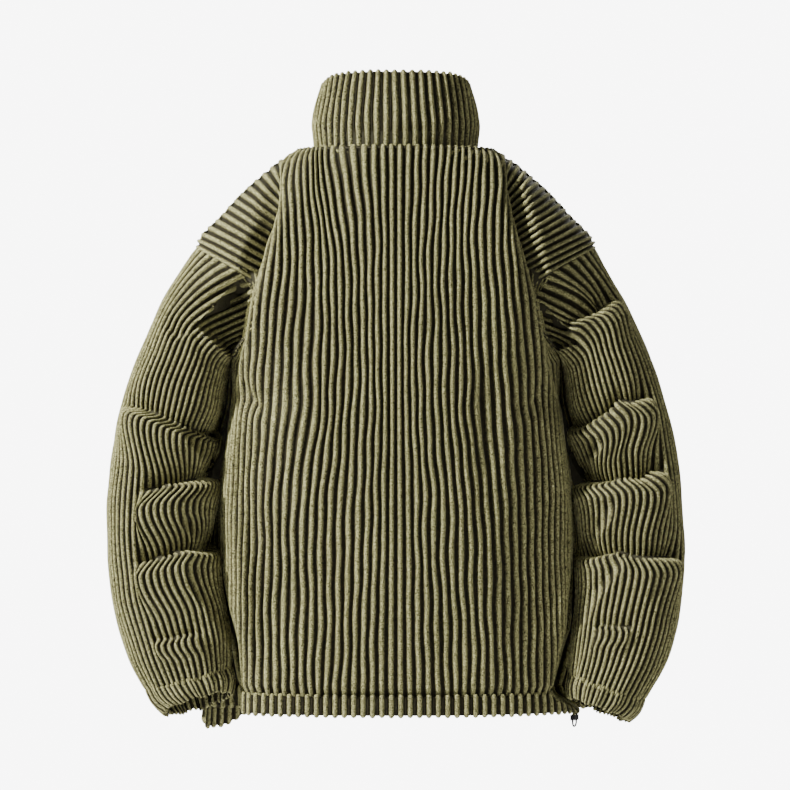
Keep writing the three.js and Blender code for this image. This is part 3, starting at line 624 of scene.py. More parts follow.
def outward(grid, normal):
    """The normals, turned away from the middle line of a tube."""
    away = grid - grid.mean(0, keepdims=True)
    return normal if (away * normal).sum() > 0 else -normal


def from_middle(grid, normal):
    """The normals of an open band, turned away from the middle of all its points."""
    return normal * np.sign((normal * (grid - grid.mean((0, 1)))).sum())


def lengths(grid):
    """How far each point of a grid is along its own wale."""
    step = np.linalg.norm(np.diff(grid, axis=1), axis=-1)
    return np.concatenate([np.zeros_like(step[:, :1]), np.cumsum(step, axis=1)], axis=1)


def spread_rows(first, last, step, block):
    """Rows from first to last about `step` apart, a whole number of blocks of them."""
    count = max(1, round(abs(last - first) / step / block)) * block
    return np.linspace(first, last, count + 1)


class Cloth:
    """Collects the islands of one piece of cloth and makes its mesh."""

    def __init__(self):
        self.points, self.quads, self.fans, self.fan_uvs = [], [], [], []
        self.quad_uvs, self.quad_slots, self.fan_slots, self.ridge = [], [], [], []
        self.count = 0

    def add_points(self, points, ridge):
        start = self.count
        self.points.append(points.reshape(-1, 3))
        self.ridge.append(np.broadcast_to(ridge, points.shape[:-1]).ravel())
        self.count += len(self.points[-1])
        return start

    def add_quads(self, quads, uvs, slot):
        self.quads.append(quads.reshape(-1, 4))
        self.quad_uvs.append(uvs.reshape(-1, 4, 2))
        self.quad_slots.append(np.full(len(self.quads[-1]), slot))

    def add_fan(self, corners, uvs, slot):
        self.fans.append(corners)
        self.fan_uvs.append(uvs)
        self.fan_slots.append(slot)

    def lattice(self, outer, ridge, u, v, closed):
        """The ribbed side: a grid of points with its rib heights and texture coordinates."""
        start = self.add_points(outer, ridge)
        nu, nv = outer.shape[:2]
        i, j = np.meshgrid(np.arange(nu if closed else nu - 1), np.arange(nv - 1), indexing="ij")

        def at(a, b):
            return start + (a % nu) * nv + b

        quads = np.stack([at(i, j), at(i + 1, j), at(i + 1, j + 1), at(i, j + 1)], -1)
        if closed:
            u = np.concatenate([u, u[:1] + round(float(u[-1].max() - u[0].min()) + 0.5)])
            v = np.concatenate([v, v[:1]])
        uv = np.stack([u, v], -1)
        uvs = np.stack([uv[i, j], uv[i + 1, j], uv[i + 1, j + 1], uv[i, j + 1]], -2)
        return at, quads, uvs

    def sheet(self, outer, inner, ridge, u, v, block, closed=False, active=None):
        """A ribbed sheet with a plain underside, which has one cell for each wale and block."""
        at, quads, uvs = self.lattice(outer, ridge, u, v, closed)
        nu, nv = outer.shape[:2]
        wales = nu // STEPS
        blocks = (nv - 1) // block
        active = np.ones((wales, blocks), bool) if active is None else active
        fine = np.kron(active, np.ones((STEPS, block))).astype(bool)
        self.add_quads(quads[fine], uvs[fine], 0)
        below = self.add_points(inner, 0.0)
        columns = wales if closed else wales + 1

        def under(k, b):
            return below + (k % columns) * (blocks + 1) + b

        k, b = np.nonzero(active)
        flat = np.stack([under(k, b), under(k, b + 1), under(k + 1, b + 1), under(k + 1, b)], -1)
        spots = np.stack([np.stack([k, b], -1), np.stack([k, b + 1], -1), np.stack([k + 1, b + 1], -1),
                          np.stack([k + 1, b], -1)], -2).astype(float)
        self.add_quads(flat, spots * [1.0, 2.0], 1)

        def open_side(kk, bb):
            if closed:
                kk %= wales
            return not (0 <= kk < wales and 0 <= bb < blocks and active[kk, bb])

        for k, b in zip(*np.nonzero(active)):
            i0, i1, j0, j1 = k * STEPS, (k + 1) * STEPS, b * block, (b + 1) * block
            rows, cols = range(j0, j1 + 1), range(i0, i1 + 1)
            if open_side(k - 1, b):
                self.rim([at(i0, j) for j in rows], [under(k, b + 1), under(k, b)])
            if open_side(k + 1, b):
                self.rim([at(i1, j) for j in reversed(rows)],
                         [under(k + 1, b), under(k + 1, b + 1)])
            if open_side(k, b - 1):
                self.rim([at(i, j0) for i in reversed(cols)], [under(k, b), under(k + 1, b)])
            if open_side(k, b + 1):
                self.rim([at(i, j1) for i in cols], [under(k + 1, b + 1), under(k, b + 1)])

    def rim(self, edge, underside):
        """One face that closes an edge between the ribbed side and the plain one."""
        corners = [int(c) for c in edge + underside]
        uvs = [(0.5, 0.1 * n) for n in range(len(corners))]
        self.add_fan(corners, uvs, 1)

    def band(self, outer, ridge, u, v, closed=False):
        """A sheet folded back on itself: its first and last rows meet at the seam."""
        at, quads, uvs = self.lattice(outer, ridge, u, v, closed)
        self.add_quads(quads, uvs, 0)
        nu, nv = outer.shape[:2]
        i = np.arange(nu if closed else nu - 1)
        ends = np.stack([at(i + 1, 0), at(i, 0), at(i, nv - 1), at(i + 1, nv - 1)], -1)
        self.add_quads(ends, np.zeros((len(ends), 4, 2)) + 0.5, 1)
        if not closed:
            self.rim([at(0, j) for j in range(nv)], [])
            self.rim([at(nu - 1, j) for j in reversed(range(nv))], [])

    def build(self, name, materials, replaces, body=JACKET):
        points = np.concatenate(self.points) * MM
        quads = np.concatenate(self.quads)
        corners = np.concatenate([quads.ravel()] + [np.array(fan) for fan in self.fans])
        sizes = np.concatenate([np.full(len(quads), 4), [len(fan) for fan in self.fans]]).astype(int)
        uvs = np.concatenate([np.concatenate(self.quad_uvs).reshape(-1, 2)]
                             + [np.array(uv) for uv in self.fan_uvs])
        slots = np.concatenate([np.concatenate(self.quad_slots), self.fan_slots]).astype(int)
        mesh = bpy.data.meshes.new(name)
        mesh.vertices.add(len(points))
        mesh.vertices.foreach_set("co", points.ravel())
        mesh.loops.add(len(corners))
        mesh.loops.foreach_set("vertex_index", corners.astype(np.int32))
        mesh.polygons.add(len(sizes))
        starts = np.concatenate([[0], np.cumsum(sizes)[:-1]])
        mesh.polygons.foreach_set("loop_start", starts.astype(np.int32))
        layer = mesh.uv_layers.new(name="cloth")
        layer.uv.foreach_set("vector", uvs.astype(np.float32).ravel())
        # the rib heights, which the corduroy reads to paint shade down the wales' sides and into the grooves
        ridge = mesh.attributes.new("ridge", "FLOAT", "POINT")
        ridge.data.foreach_set("value", np.concatenate(self.ridge).astype(np.float32))
        for material in materials:
            mesh.materials.append(material)
        mesh.polygons.foreach_set("material_index", slots.astype(np.int32))
        mesh.update(calc_edges=True)
        mesh.validate()
        return finish_piece(name, mesh, replaces, body)


def signed_volume(mesh):
    mesh.calc_loop_triangles()
    corners = np.empty(len(mesh.loop_triangles) * 3, np.int32)
    mesh.loop_triangles.foreach_get("vertices", corners)
    points = np.empty(len(mesh.vertices) * 3, np.float32)
    mesh.vertices.foreach_get("co", points)
    a, b, c = points.reshape(-1, 3)[corners.reshape(-1, 3)].transpose(1, 0, 2).astype(float)
    return np.einsum("ij,ij->i", a, np.cross(b, c)).sum() / 6


def finish_piece(name, mesh, replaces, body=JACKET):
    """Turns a mesh's faces outwards, shades it and puts it in the scene."""
    if signed_volume(mesh) < 0:
        mesh.flip_normals()
    mesh.shade_smooth()
    mesh.set_sharp_from_angle(angle=math.radians(SHARP_FROM))
    piece = bpy.data.objects.new(name, mesh)
    bpy.context.collection.objects.link(piece)
    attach(piece, body)
    if replaces:
        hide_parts(*replaces)
    return piece


def underside(grid, normal, rib, block, closed=False):
    """The plain back of a sheet: one point for each wale and block, behind the wales."""
    last = grid.shape[0] if closed else grid.shape[0] + 1
    return (grid - normal * (rib + BASE))[0:last:STEPS, ::block]


def ribbed(grid, normal, u, rib, pressed=0.0):
    """The wales on a smooth grid whose crests lie on it, and their heights from 0 to 1.

    Where `pressed` is 1 a seam holds the wales down and its pull fills their grooves.
    """
    height = rib_height(u)
    uneven = 1 + UNEVEN * ripple(np.floor(u + 1e-7) * 97, grid[..., 2], 3)
    lift = rib * ((height * uneven) * (1 - SEAM_HOLD["flat"] * pressed) + SEAM_HOLD["fill"] * pressed - 1)
    return grid + normal * lift[..., None], height


def roll_over(grid, normal, along, radius, turn, steps):
    """Rows that carry a grid's last row on round a seam edge, away from the normal."""
    rows = []
    last, ahead, out = grid[:, -1], along[:, -1], normal[:, -1]
    for t in np.arange(1, steps + 1) * turn / steps:
        rows.append(last + ahead * radius * sin(t) - out * radius * (1 - cos(t)))
    return np.concatenate([grid, np.stack(rows, 1)], 1)


def repeat_last(values, count):
    return np.concatenate([values, np.repeat(values[:, -1:], count, axis=1)], 1)


# ---- the back -------------------------------------------------------------------------
BACK_WALES = (-31, 31)           # first and last wale, counted from the middle line
FRONT_WALES = {1: (0, 32), -1: (-32, 0)}
ROW = 5.0                        # mesh rows on the body
BLOCK = 5                        # ribbed rows to one cell of the underside
CURL_END = 122.0                 # how far the middle's edge turns under, in degrees
SECTION_POINTS = 220

# soft hollows and ridges of the hanging cloth: place, reach, lean and depth
DRAPE = [
    # x, z, half width, half height, lean, depth
    (-95, -250, 26, 190, 0.10, 3.5), (60, -330, 22, 230, -0.06, 2.5),
    (130, -420, 24, 190, 0.05, 3.0), (-30, -520, 20, 150, 0.08, -2.5),
    (-150, -480, 22, 180, -0.10, 3.0), (10, -120, 30, 90, 0.02, -2.0),
    (95, -150, 20, 110, -0.18, 2.5), (-60, -600, 26, 90, -0.04, 2.0),
    (45, -560, 14, 80, 0.05, 3.0), (-110, -330, 12, 120, -0.05, 2.5), (150, -300, 13, 120, 0.08, 3.0),
    (5, -300, 12, 150, 0.03, 2.5), (-15, -420, 9, 80, 0.02, 2.0),
]


def drape(x, z, hollows=DRAPE):
    """How far the hanging cloth lies in from its full shape at a place."""
    total = 0.0
    for cx, cz, wide, high, lean, depth in hollows:
        off = (x - cx - lean * (z - cz)) / wide
        total = total + depth * np.exp(-off ** 2 - ((z - cz) / high) ** 2)
    return total


def back_depth(x, level):
    """Y of the smooth back at a distance from the middle, with no folds."""
    power, mid = BODY["power"](level), BODY["mid"](level)
    q = np.clip(np.abs(x) / BODY["half"](level), 0, 1)
    return mid + (BODY["back"](level) - mid) * (1 - q ** power) ** (1 / power)


def curled_section(side, level):
    """One half of the back's middle at a level above the armpit: its edge curls under."""
    name = SIDES[side]
    reach = min(float(EDGE[name](level)), float(BODY["half"](level)) - 1.0)
    radius = max(8.0, float(EDGE["deep"](level)) + 3.0)
    slope = 0.35
    for _ in range(4):
        start = reach - radius * (1 - math.sin(slope))
        near, far = back_depth(start - 0.5, level), back_depth(start + 0.5, level)
        slope = math.atan(float(near - far))
    x = np.linspace(0, start, SECTION_POINTS // 2)
    flat = np.stack([x, back_depth(x, level)], -1)
    turn = np.linspace(slope, math.radians(CURL_END), SECTION_POINTS // 2 + 1)[1:]
    curl = flat[-1] + radius * np.stack([np.sin(turn) - math.sin(slope), np.cos(turn) - math.cos(slope)], -1)
    return np.concatenate([flat, curl])


def side_section(side, level):
    """One half of the back at a level below the armpit, round to the side seam."""
    angle = side * np.linspace(0, 90 - SEAM_ANGLE, SECTION_POINTS)
    point = body_point(angle, np.full_like(angle, level), fold=0.6)
    return np.abs(point[:, :2] * [1, 0]) + point[:, :2] * [0, 1]


def back_section(side, level):
    blend = float(smooth(-level, 262, 335))
    curled = curled_section(side, max(level, -335.0)) if blend < 1 else 0.0
    whole = side_section(side, level) if blend > 0 else 0.0
    return curled * (1 - blend) + whole * blend


# how far the wales are drawn in towards the middle line, at three distances from it
DRAWN_IN = table("level near middle far", [
    (-5, -4, -12, -15), (-45, -7, -18, -20), (-120, -8, -25, -32), (-190, -9, -23, -26),
    (-250, -11, -22, -16), (-305, -11, -22, -7), (-365, -10, -14, -4), (-425, -5, -8, -2),
    (-485, -4, -5, -4), (-600, -1, -4, -2), (-680, 0, -3, -2)])
WANDER = 2.4                     # how far the wales of the back stray from side to side


def wale_lean(u, level):
    """Sideways shift of the back's wales, which splay out near the neck at the left."""
    s = u * WALE
    drawn = [DRAWN_IN[name](level) for name in ("near", "middle", "far")]
    closer = np.sign(u) * np.interp(np.abs(s), (0, 43, 115, 180, 335), (0, *drawn, 0))
    splay = 13.0 * np.exp(-((s - 82) / 34) ** 2) * smooth(level, -170, -10) * (u > 0)
    return closer + splay + WANDER * ripple(s * 1.3, level * 1.4, 11) * smooth(np.abs(u), 0, 3)


def along_section(section, s):
    """Points and directions at distances along a section, both held at its end."""
    step = np.linalg.norm(np.diff(section, axis=0), axis=1)
    run = np.concatenate([[0], np.cumsum(step)])
    held = np.minimum(s, run[-1] - 0.05)
    point = np.stack([np.interp(held, run, section[:, k]) for k in (0, 1)], -1)
    ahead = np.stack([np.interp(np.minimum(held + 1.5, run[-1]), run, section[:, k]) for k in (0, 1)], -1)
    behind = np.stack([np.interp(np.maximum(held - 1.5, 0), run, section[:, k]) for k in (0, 1)], -1)
    return point, ahead - behind, run[-1]


def middle_grid(section, levels, edge_wales, shift=None):
    """A grid of wales that run up and down a body piece, and which of its cells are used."""
    first, last = edge_wales
    sides = (1, -1) if first < 0 < last else ((1,) if last > 0 else (-1,))
    u = wale_steps(first, last)
    nu, nv = len(u), len(levels)
    points, tangents = np.empty((nu, nv, 3)), np.zeros((nu, nv, 3))
    inside, true_u = np.empty((nu, nv), bool), np.empty((nu, nv))
    for j, level in enumerate(levels):
        moved = u * WALE + (shift(u, level) if shift else 0.0)
        for side in sides:
            at = np.ones(nu, bool) if len(sides) == 1 else (u >= 0 if side > 0 else u < 0)
            s = np.abs(moved[at])
            point, direction, end = along_section(section(side, level), s)
            points[at, j] = np.stack([side * point[:, 0], point[:, 1], np.full(at.sum(), level)], -1)
            tangents[at, j, :2] = direction * [1, side]
            inside[at, j] = s <= end
            true_u[at, j] = side * (np.abs(u[at]) - np.maximum(0, s - end) / WALE)
    cells = inside[::STEPS, ::BLOCK]
    active = cells[:-1, :-1] | cells[1:, :-1] | cells[:-1, 1:] | cells[1:, 1:]
    return u, points, unit(tangents), true_u, active


HEM_TUCK = {"depth": 5.0, "from": -2.0, "to": 9.0, "flat_to": 3.0}


def tuck(grid, normal, levels):
    """Sinks the rows near the hem's seam, where the hem's edge stands over them."""
    near = 1 - smooth(levels, HEM_SEAM + HEM_TUCK["from"], HEM_SEAM + HEM_TUCK["to"])
    return grid - normal * (HEM_TUCK["depth"] * near)[None, :, None]


def pressed_at_hem(levels):
    """1 on the rows that lie inside the hem's seam and 0 just above it."""
    return 1 - smooth(levels, HEM_SEAM, HEM_SEAM + HEM_TUCK["flat_to"])


# fullness of the sides under the arms, which lies close to the sleeves
UNDERARM = {"y": -45.0, "deep": 26.0}
UNDERARM_SWELL = curve((-640, -600, -520, -450, -345, -300, -276, -256), (0, 4, 13, 22, 26, 23, 14, 0))


def underarm(grid):
    """How far each point of the body moves sideways for the fullness under the arms."""
    x, y, z = grid[..., 0], grid[..., 1], grid[..., 2]
    near = np.exp(-((y - UNDERARM["y"]) / UNDERARM["deep"]) ** 2) * smooth(np.abs(x), 130, 180)
    return np.sign(x) * near * UNDERARM_SWELL(z)


PLUMP = {"out": 25.0, "in": 4.0, "width": 19.0}


def plump(grid):
    """How far the back's edge beside the sleeves stands out behind."""
    x, z = grid[..., 0], grid[..., 2]
    edge = np.where(x > 0, EDGE["left"](z), EDGE["right"](z)) - PLUMP["in"]
    window = smooth(-z, 300, 360) * (1 - smooth(-z, 540, 640))
    return PLUMP["out"] * np.exp(-((np.abs(x) - edge) / PLUMP["width"]) ** 2) * window


def back_middle(cloth):
    levels = spread_rows(HEM_SEAM - SEAM_TUCK, -ROLL, ROW, BLOCK)
    _, grid, along_u, true_u, active = middle_grid(back_section, levels, BACK_WALES, wale_lean)
    grid[..., 1] += plump(grid) - drape(grid[..., 0], grid[..., 2])
    grid[..., 0] += underarm(grid)
    normal = -unit(np.cross(along_u, gradient(grid, 1)))
    grid = tuck(grid, normal, levels)
    up = np.broadcast_to([0.0, 0.0, 1.0], grid.shape)
    grid = roll_over(grid, normal, up, ROLL, 90, BLOCK)
    along_u, true_u = repeat_last(along_u, BLOCK), repeat_last(true_u, BLOCK)
    active = np.concatenate([active, active[:, -1:]], 1)
    normal = -unit(np.cross(along_u, gradient(grid, 1)))
    pressed = np.concatenate([pressed_at_hem(levels), np.linspace(0.2, 1, BLOCK)])
    outer, ridge = ribbed(grid, normal, true_u, RIB["back"], pressed)
    inner = underside(grid, normal, RIB["back"], BLOCK)
    cloth.sheet(outer, inner, ridge, true_u, lengths(grid) / WALE, BLOCK, active=active)


# the shoulders beside the middle: their wales slant in from the shoulder seam
WINGS = {
    # the levels where the first and last wales start and end; then the step down from the
    # middle's edge: how deep it is, the width it dies out over, and the ridge beyond it
    1: {"wales": 18, "start": (20, -125), "end": (-8, -172), "ridge": 0.0, "depth": 24.0, "slope": 32.0},
    -1: {"wales": 22, "start": (20, -125), "end": (-10, -172), "ridge": 3.0, "depth": 34.0, "slope": 24.0},
}
WING_ROWS = 40
UNDER_MIDDLE = 7.0               # how far a shoulder reaches in under the middle's edge
UNDER_EDGE = 6.0                 # how much further in it lies there


def wing(cloth, side):
    form = WINGS[side]
    u = wale_steps(0, form["wales"])
    w = np.linspace(0, 1, WING_ROWS + 1)
    U, W = np.meshgrid(u / form["wales"], w, indexing="ij")
    start_z = form["start"][0] + (form["start"][1] - form["start"][0]) * U
    round_neck = np.maximum(start_z + 1, 0)
    start_z = start_z - round_neck
    end_z = form["end"][0] + (form["end"][1] - form["end"][0]) * U
    start_x = BODY["half"](start_z) - 1.1 * round_neck
    edge = EDGE[SIDES[side]](end_z)
    end_x = np.minimum(edge, start_x) - UNDER_MIDDLE - 25 * smooth(end_z, -26, -8)
    t = W ** 2
    x = start_x + (end_x - start_x) * t
    z = start_z + (end_z - start_z) * t
    from_edge = x - EDGE[SIDES[side]](z)
    y = back_depth(x, z)
    sink = form["depth"] * (1 - smooth(from_edge, -4, form["slope"])) * smooth(-z, 18, 70)
    y = y - sink + form["ridge"] * np.exp(-((from_edge - form["slope"] - 1) / 7) ** 2)
    y = y - 1.5 * ripple(x * 2, z * 2, 5 + side) - UNDER_EDGE * smooth(-from_edge, -2, 8)
    under_front = (1 - smooth(W, 0, 0.12)) * (1 - smooth(round_neck, 0, 6))
    grid = np.stack([side * (x - 2.5 * under_front), y - 8 * under_front, z - 2.5 * under_front], -1)
    normal = towards(normals(grid), 1)
    true_u = np.broadcast_to(u[:, None], x.shape)
    outer, ridge = ribbed(grid, normal, true_u, RIB["back"])
    inner = underside(grid, normal, RIB["back"], BLOCK)
    cloth.sheet(outer, inner, ridge, true_u + 200, lengths(grid) / WALE, BLOCK)


GUSSET = {"wales": 5, "top": -150.0, "foot": -338.0, "tuck": 9.0, "clear": -5.0, "sunk": 1.5}


def gusset(cloth, side):
    """The strip deep beside the middle, from under its edge to the armhole or side seam."""
    u = wale_steps(0, GUSSET["wales"])
    levels = spread_rows(GUSSET["foot"], GUSSET["top"], ROW, BLOCK)
    half = BODY["half"](levels)
    inner = np.degrees(np.arcsin(np.clip((EDGE[SIDES[side]](levels) - GUSSET["tuck"]) / half, 0, 1)))
    outer = np.where(levels > ARMPIT, ARMHOLE["back"](levels), 90.0)
    outer = np.maximum(outer - np.degrees(GUSSET["clear"] / half), inner + 2)
    part = u[:, None] / GUSSET["wales"]
    angle = inner[None, :] * (1 - part) + outer[None, :] * part
    grid = body_point(side * angle, np.broadcast_to(levels, angle.shape))
    normal = towards(normals(grid), 1)
    grid = grid - normal * GUSSET["sunk"]
    true_u = np.broadcast_to(u[:, None], angle.shape)
    outer_side, ridge = ribbed(grid, normal, true_u, RIB["body"])
    cloth.sheet(outer_side, underside(grid, normal, RIB["body"], BLOCK), ridge, true_u + 300,
                lengths(grid) / WALE, BLOCK)


def make_back():
    cloth = Cloth()
    back_middle(cloth)
    for side in (1, -1):
        wing(cloth, side)
        gusset(cloth, side)
    return cloth.build("back_panel", [corduroy, weave], ["back"])


# ---- the fronts -----------------------------------------------------------------------
FRONT_DRAPE = [
    (70, -300, 22, 200, 0.10, 3.5), (-80, -340, 24, 210, -0.12, 3.0), (130, -180, 26, 90, 0.35, 5.0),
    (-135, -190, 24, 90, -0.35, 5.0), (150, -500, 24, 160, -0.05, 3.5), (-150, -520, 22, 150, 0.06, 3.0),
    (40, -560, 18, 110, 0.03, -2.5), (-45, -480, 18, 130, -0.05, -2.5),
]


def front_edge(level):
    open_side = ARMHOLE["front"](level) if ARMPIT <= level <= SHOULDER_TIP else 90.0
    return 180 - float(open_side) + SEAM_ANGLE


def front_section(side, level):
    """One front at a level, from beside the zip round to the armhole or side seam."""
    first = 180 - math.degrees(ZIP_SLOT / float(BODY["half"](level)))
    angle = side * np.linspace(first, front_edge(level), SECTION_POINTS)
    point = body_point(angle, np.full_like(angle, level))
    return np.abs(point[:, :2] * [1, 0]) + point[:, :2] * [0, 1]


def lower_front(grid, levels):
    """Drops a front's rows to their true heights, by the angle each point lies at."""
    half = BODY["half"](levels)[None, :]
    mid = BODY["mid"](levels)[None, :]
    reach = BODY["front"](levels)[None, :] + mid
    q = np.clip(np.abs(grid[..., 0]) / half, 0, 1)
    c = np.clip((mid - grid[..., 1]) / reach, 0, 1)
    angle = np.sign(grid[..., 0]) * (180 - np.degrees(np.arctan2(q, c)))
    level = np.broadcast_to(levels[None, :], angle.shape)
    grid[..., 2] = level - neck_drop(angle, level) - hem_drop(angle, level)
    return grid


def hang_front(grid):
    """Lays a front's soft hollows in, clear of the zip."""
    x, z = grid[..., 0], grid[..., 2]
    grid[..., 1] += drape(x, z, FRONT_DRAPE) * smooth(np.abs(x), 12, 40)
    return grid


def make_front(side):
    cloth = Cloth()
    levels = spread_rows(HEM_SEAM - SEAM_TUCK, -1.0, ROW, BLOCK)
    _, grid, along_u, true_u, active = middle_grid(front_section, levels, FRONT_WALES[side])
    grid = hang_front(lower_front(grid, levels))
    grid[..., 0] += underarm(grid)
    normal = towards(unit(np.cross(along_u, gradient(grid, 1))), -1)
    grid = tuck(grid, normal, levels)
    outer, ridge = ribbed(grid, normal, true_u, RIB["body"], pressed_at_hem(levels))
    inner = underside(grid, normal, RIB["body"], BLOCK)
    cloth.sheet(outer, inner, ridge, true_u, lengths(grid) / WALE, BLOCK, active=active)
    return cloth.build(f"front_panel_{SIDES[side]}", [corduroy, weave], [f"front_{SIDES[side]}"])


# ---- the sleeves ----------------------------------------------------------------------
SLEEVE_ROWS = 200
SLEEVE_BLOCK = 2
WRAP_ANGLE = 205.0               # where a sleeve's wales start being counted, on its hidden side

# creases of the stacked sleeves as seen from behind, each through points (x, z) where the
# cloth below a crease begins. Cloth above it dips in and cloth below stands over it.
# depth: how far the cloth dips; lip: how far it stands out below; over: how far it laps
# up over the crease; jog: degrees the wales below swing to the outer side, over `rise`
# millimetres, before they drift back over `fall`; width: reach up; fade: degrees over
# which the outer and the inner end die out
FOLDS = {
    1: [
        {"points": [(262, -230), (244, -224)], "depth": 4, "lip": 3, "over": 0,
         "jog": 0, "rise": 16, "fall": 60, "width": 24, "fade": (30, 20)},
        {"points": [(303, -318), (285, -324), (256, -336), (216, -352)], "depth": 12, "lip": 6, "over": 5,
         "jog": 14, "rise": 8, "fall": 66, "width": 18, "fade": (46, 60)},
        {"points": [(289, -414), (272, -408), (250, -406), (218, -402)], "depth": 19, "lip": 7, "over": 6,
         "jog": 13, "rise": 24, "fall": 52, "width": 26, "fade": (18, 60)},
        {"points": [(295, -499), (275, -493), (248, -486), (222, -489)], "depth": 18, "lip": 7, "over": 6,
         "jog": 9, "rise": 18, "fall": 56, "width": 24, "fade": (18, 60)},
        {"points": [(280, -590), (262, -588), (248, -584)], "depth": 7, "lip": 4, "over": 4,
         "jog": 4, "rise": 8, "fall": 20, "width": 15, "fade": (14, 20)},
    ],
    -1: [
        {"points": [(262, -190), (249, -202), (240, -206), (227, -215)], "depth": 15, "lip": 6, "over": 6,
         "jog": 4, "rise": 14, "fall": 40, "width": 34, "fade": (14, 16)},
        {"points": [(295, -306), (280, -312), (264, -307), (250, -322), (219, -341)], "depth": 16, "lip": 7,
         "over": 6, "jog": 10, "rise": 20, "fall": 44, "width": 18, "fade": (16, 60)},
        {"points": [(313, -392), (296, -402), (278, -399), (248, -406), (220, -409)], "depth": 22, "lip": 7,
         "over": 7, "jog": 10, "rise": 16, "fall": 60, "width": 32, "fade": (18, 60)},
        {"points": [(333, -496), (305, -496), (286, -495), (262, -488), (234, -495)], "depth": 18, "lip": 7,
         "over": 6, "jog": 6, "rise": 18, "fall": 60, "width": 24, "fade": (22, 50)},
        {"points": [(270, -575), (245, -574)], "depth": 8, "lip": 4, "over": 4, "jog": 3,
         "rise": 8, "fall": 20, "width": 12, "fade": (10, 12)},
    ],
}
FRONT_SHIFT = 0.45               # how far the folds wander on the sleeve's hidden side, in rings
# the shape that all creases share, in millimetres along the sleeve: how soon the cloth
# comes back out below one, how squarely it dips above, where the lip below is fullest, and
# the width of the cloth that laps over
CREASE = {"below": 2.6, "square": 1.4, "lip": 12.0, "lap": 8.0}
# the edge of a lap: how far it stands out and where, and the widths over which the cloth
# beside it sinks and its two ends die out
LAP_EDGE = {"out": 1.8, "at": 6.0, "sink": (-9, 4), "top": (-4, 8), "foot": (-10, 6)}
# a hollow: the width over which it starts, its narrowest half, and how its sides rise
HOLLOW_EDGE = {"start": (-8, 30), "narrowest": 4.0, "side": (0.82, 1.12)}

# edges where a sleeve's outer cloth lies over its inner cloth, from top to bottom
LAPS = {
    1: [
        {"points": [(255, -344), (242, -360), (228, -374), (220, -388), (216, -402)], "depth": 23,
         "reach": 80},
        {"points": [(254, -450), (240, -462), (228, -472), (220, -486)], "depth": 15, "reach": 60},
        {"points": [(249, -500), (244, -528), (230, -543), (220, -557), (209, -574), (200, -590),
                    (194, -603)], "depth": 11, "reach": 50},
    ],
    -1: [
        {"points": [(243, -358), (239, -366), (227, -376), (219, -396), (217, -409)], "depth": 19,
         "reach": 60},
        {"points": [(258, -430), (252, -449), (240, -461), (230, -474), (222, -488)], "depth": 9,
         "reach": 40},
        {"points": [(269, -498), (262, -510), (247, -529), (233, -548), (221, -568), (208, -590)],
         "depth": 10, "reach": 50},
    ],
}
# hollows that open towards the inner side: where they start, how far in they reach, the
# slope of their middle, how fast they widen, and how deep they are
HOLLOWS = {
    1: [{"x": 237, "z": -217, "slope": 0.05, "spread": 0.92, "depth": 36}],
    -1: [{"x": 216, "z": -236, "slope": 0.30, "spread": 0.75, "depth": 30}],
}


def find_ring(sign, x, z):
    """The sleeve angle and ring of a place on its back, seen from behind."""
    rings = np.linspace(0, LAST_RING, 1201)
    out_x, out_z, in_x, in_z = (SLEEVES[sign][name](rings) for name in ("outX", "outZ", "inX", "inZ"))
    c = np.clip((x - (out_x + in_x) / 2) / ((out_x - in_x) / 2), -1, 1)
    miss = np.abs((out_z + in_z) / 2 + (out_z - in_z) / 2 * c - z)
    best = int(np.argmin(miss))
    s = (1 - abs(c[best]) ** SLEEVE_ROUNDNESS) ** (1 / SLEEVE_ROUNDNESS)
    return math.degrees(math.atan2(s, c[best])), rings[best]


def fold_offsets(sign, fold, angle, rings, run):
    """How far a fold moves each point of a sleeve: outwards, down it and round it in degrees."""
    places = sorted(find_ring(sign, x, z) for x, z in fold["points"])
    first, last = places[0][0], places[-1][0]
    behind = np.where(angle > 180, 360 - angle, angle)
    ring = np.interp(behind, *zip(*places))
    ring = ring + np.where(angle > 180, FRONT_SHIFT * sin(behind) * np.sin(ring * 2.1), 0)
    outer_fade, inner_fade = fold["fade"]
    strength = smooth(behind, first - outer_fade, first)
    strength = strength * (1 - smooth(behind, last + 4, last + 4 + inner_fade))
    start = np.array([np.interp(ring[i], rings, run[i]) for i in range(len(angle))])
    d = run - start[:, None]
    w = fold["width"]
    below, above = np.maximum(d, 0), np.maximum(-d, 0)
    lip, lap = below / CREASE["lip"], CREASE["lap"]
    out = -fold["depth"] * np.exp(-below / CREASE["below"]) * np.exp(-(above / w) ** CREASE["square"])
    out = out + fold["lip"] * lip * np.exp(1 - lip)
    slide = fold["over"] * (0.4 * np.exp(-((d + 6) / lap) ** 2) - np.exp(-((d - 4) / lap) ** 2))
    swing = smooth(d, -2, fold["rise"]) * (1 - smooth(d, fold["rise"] + 4, fold["rise"] + fold["fall"]))
    strength = strength[:, None]
    return out * strength, slide * strength, -fold["jog"] * swing * strength


def lap_offset(lap, x, z):
    """How far cloth on the inner side of a lap lies in from behind, and its edge stands out."""
    points = lap["points"][::-1]
    edge = np.interp(z, [p[1] for p in points], [p[0] for p in points])
    d = x - edge
    below_top, above_foot = z - points[-1][1], z - points[0][1]
    within = smooth(above_foot, *LAP_EDGE["foot"]) * (1 - smooth(below_top, *LAP_EDGE["top"]))
    sunk = (1 - smooth(d, *LAP_EDGE["sink"])) * np.exp(-np.maximum(-d, 0) / lap["reach"])
    edge_out = LAP_EDGE["out"] * np.exp(-((d - LAP_EDGE["at"]) / LAP_EDGE["at"]) ** 2)
    return within * (-lap["depth"] * sunk + edge_out)


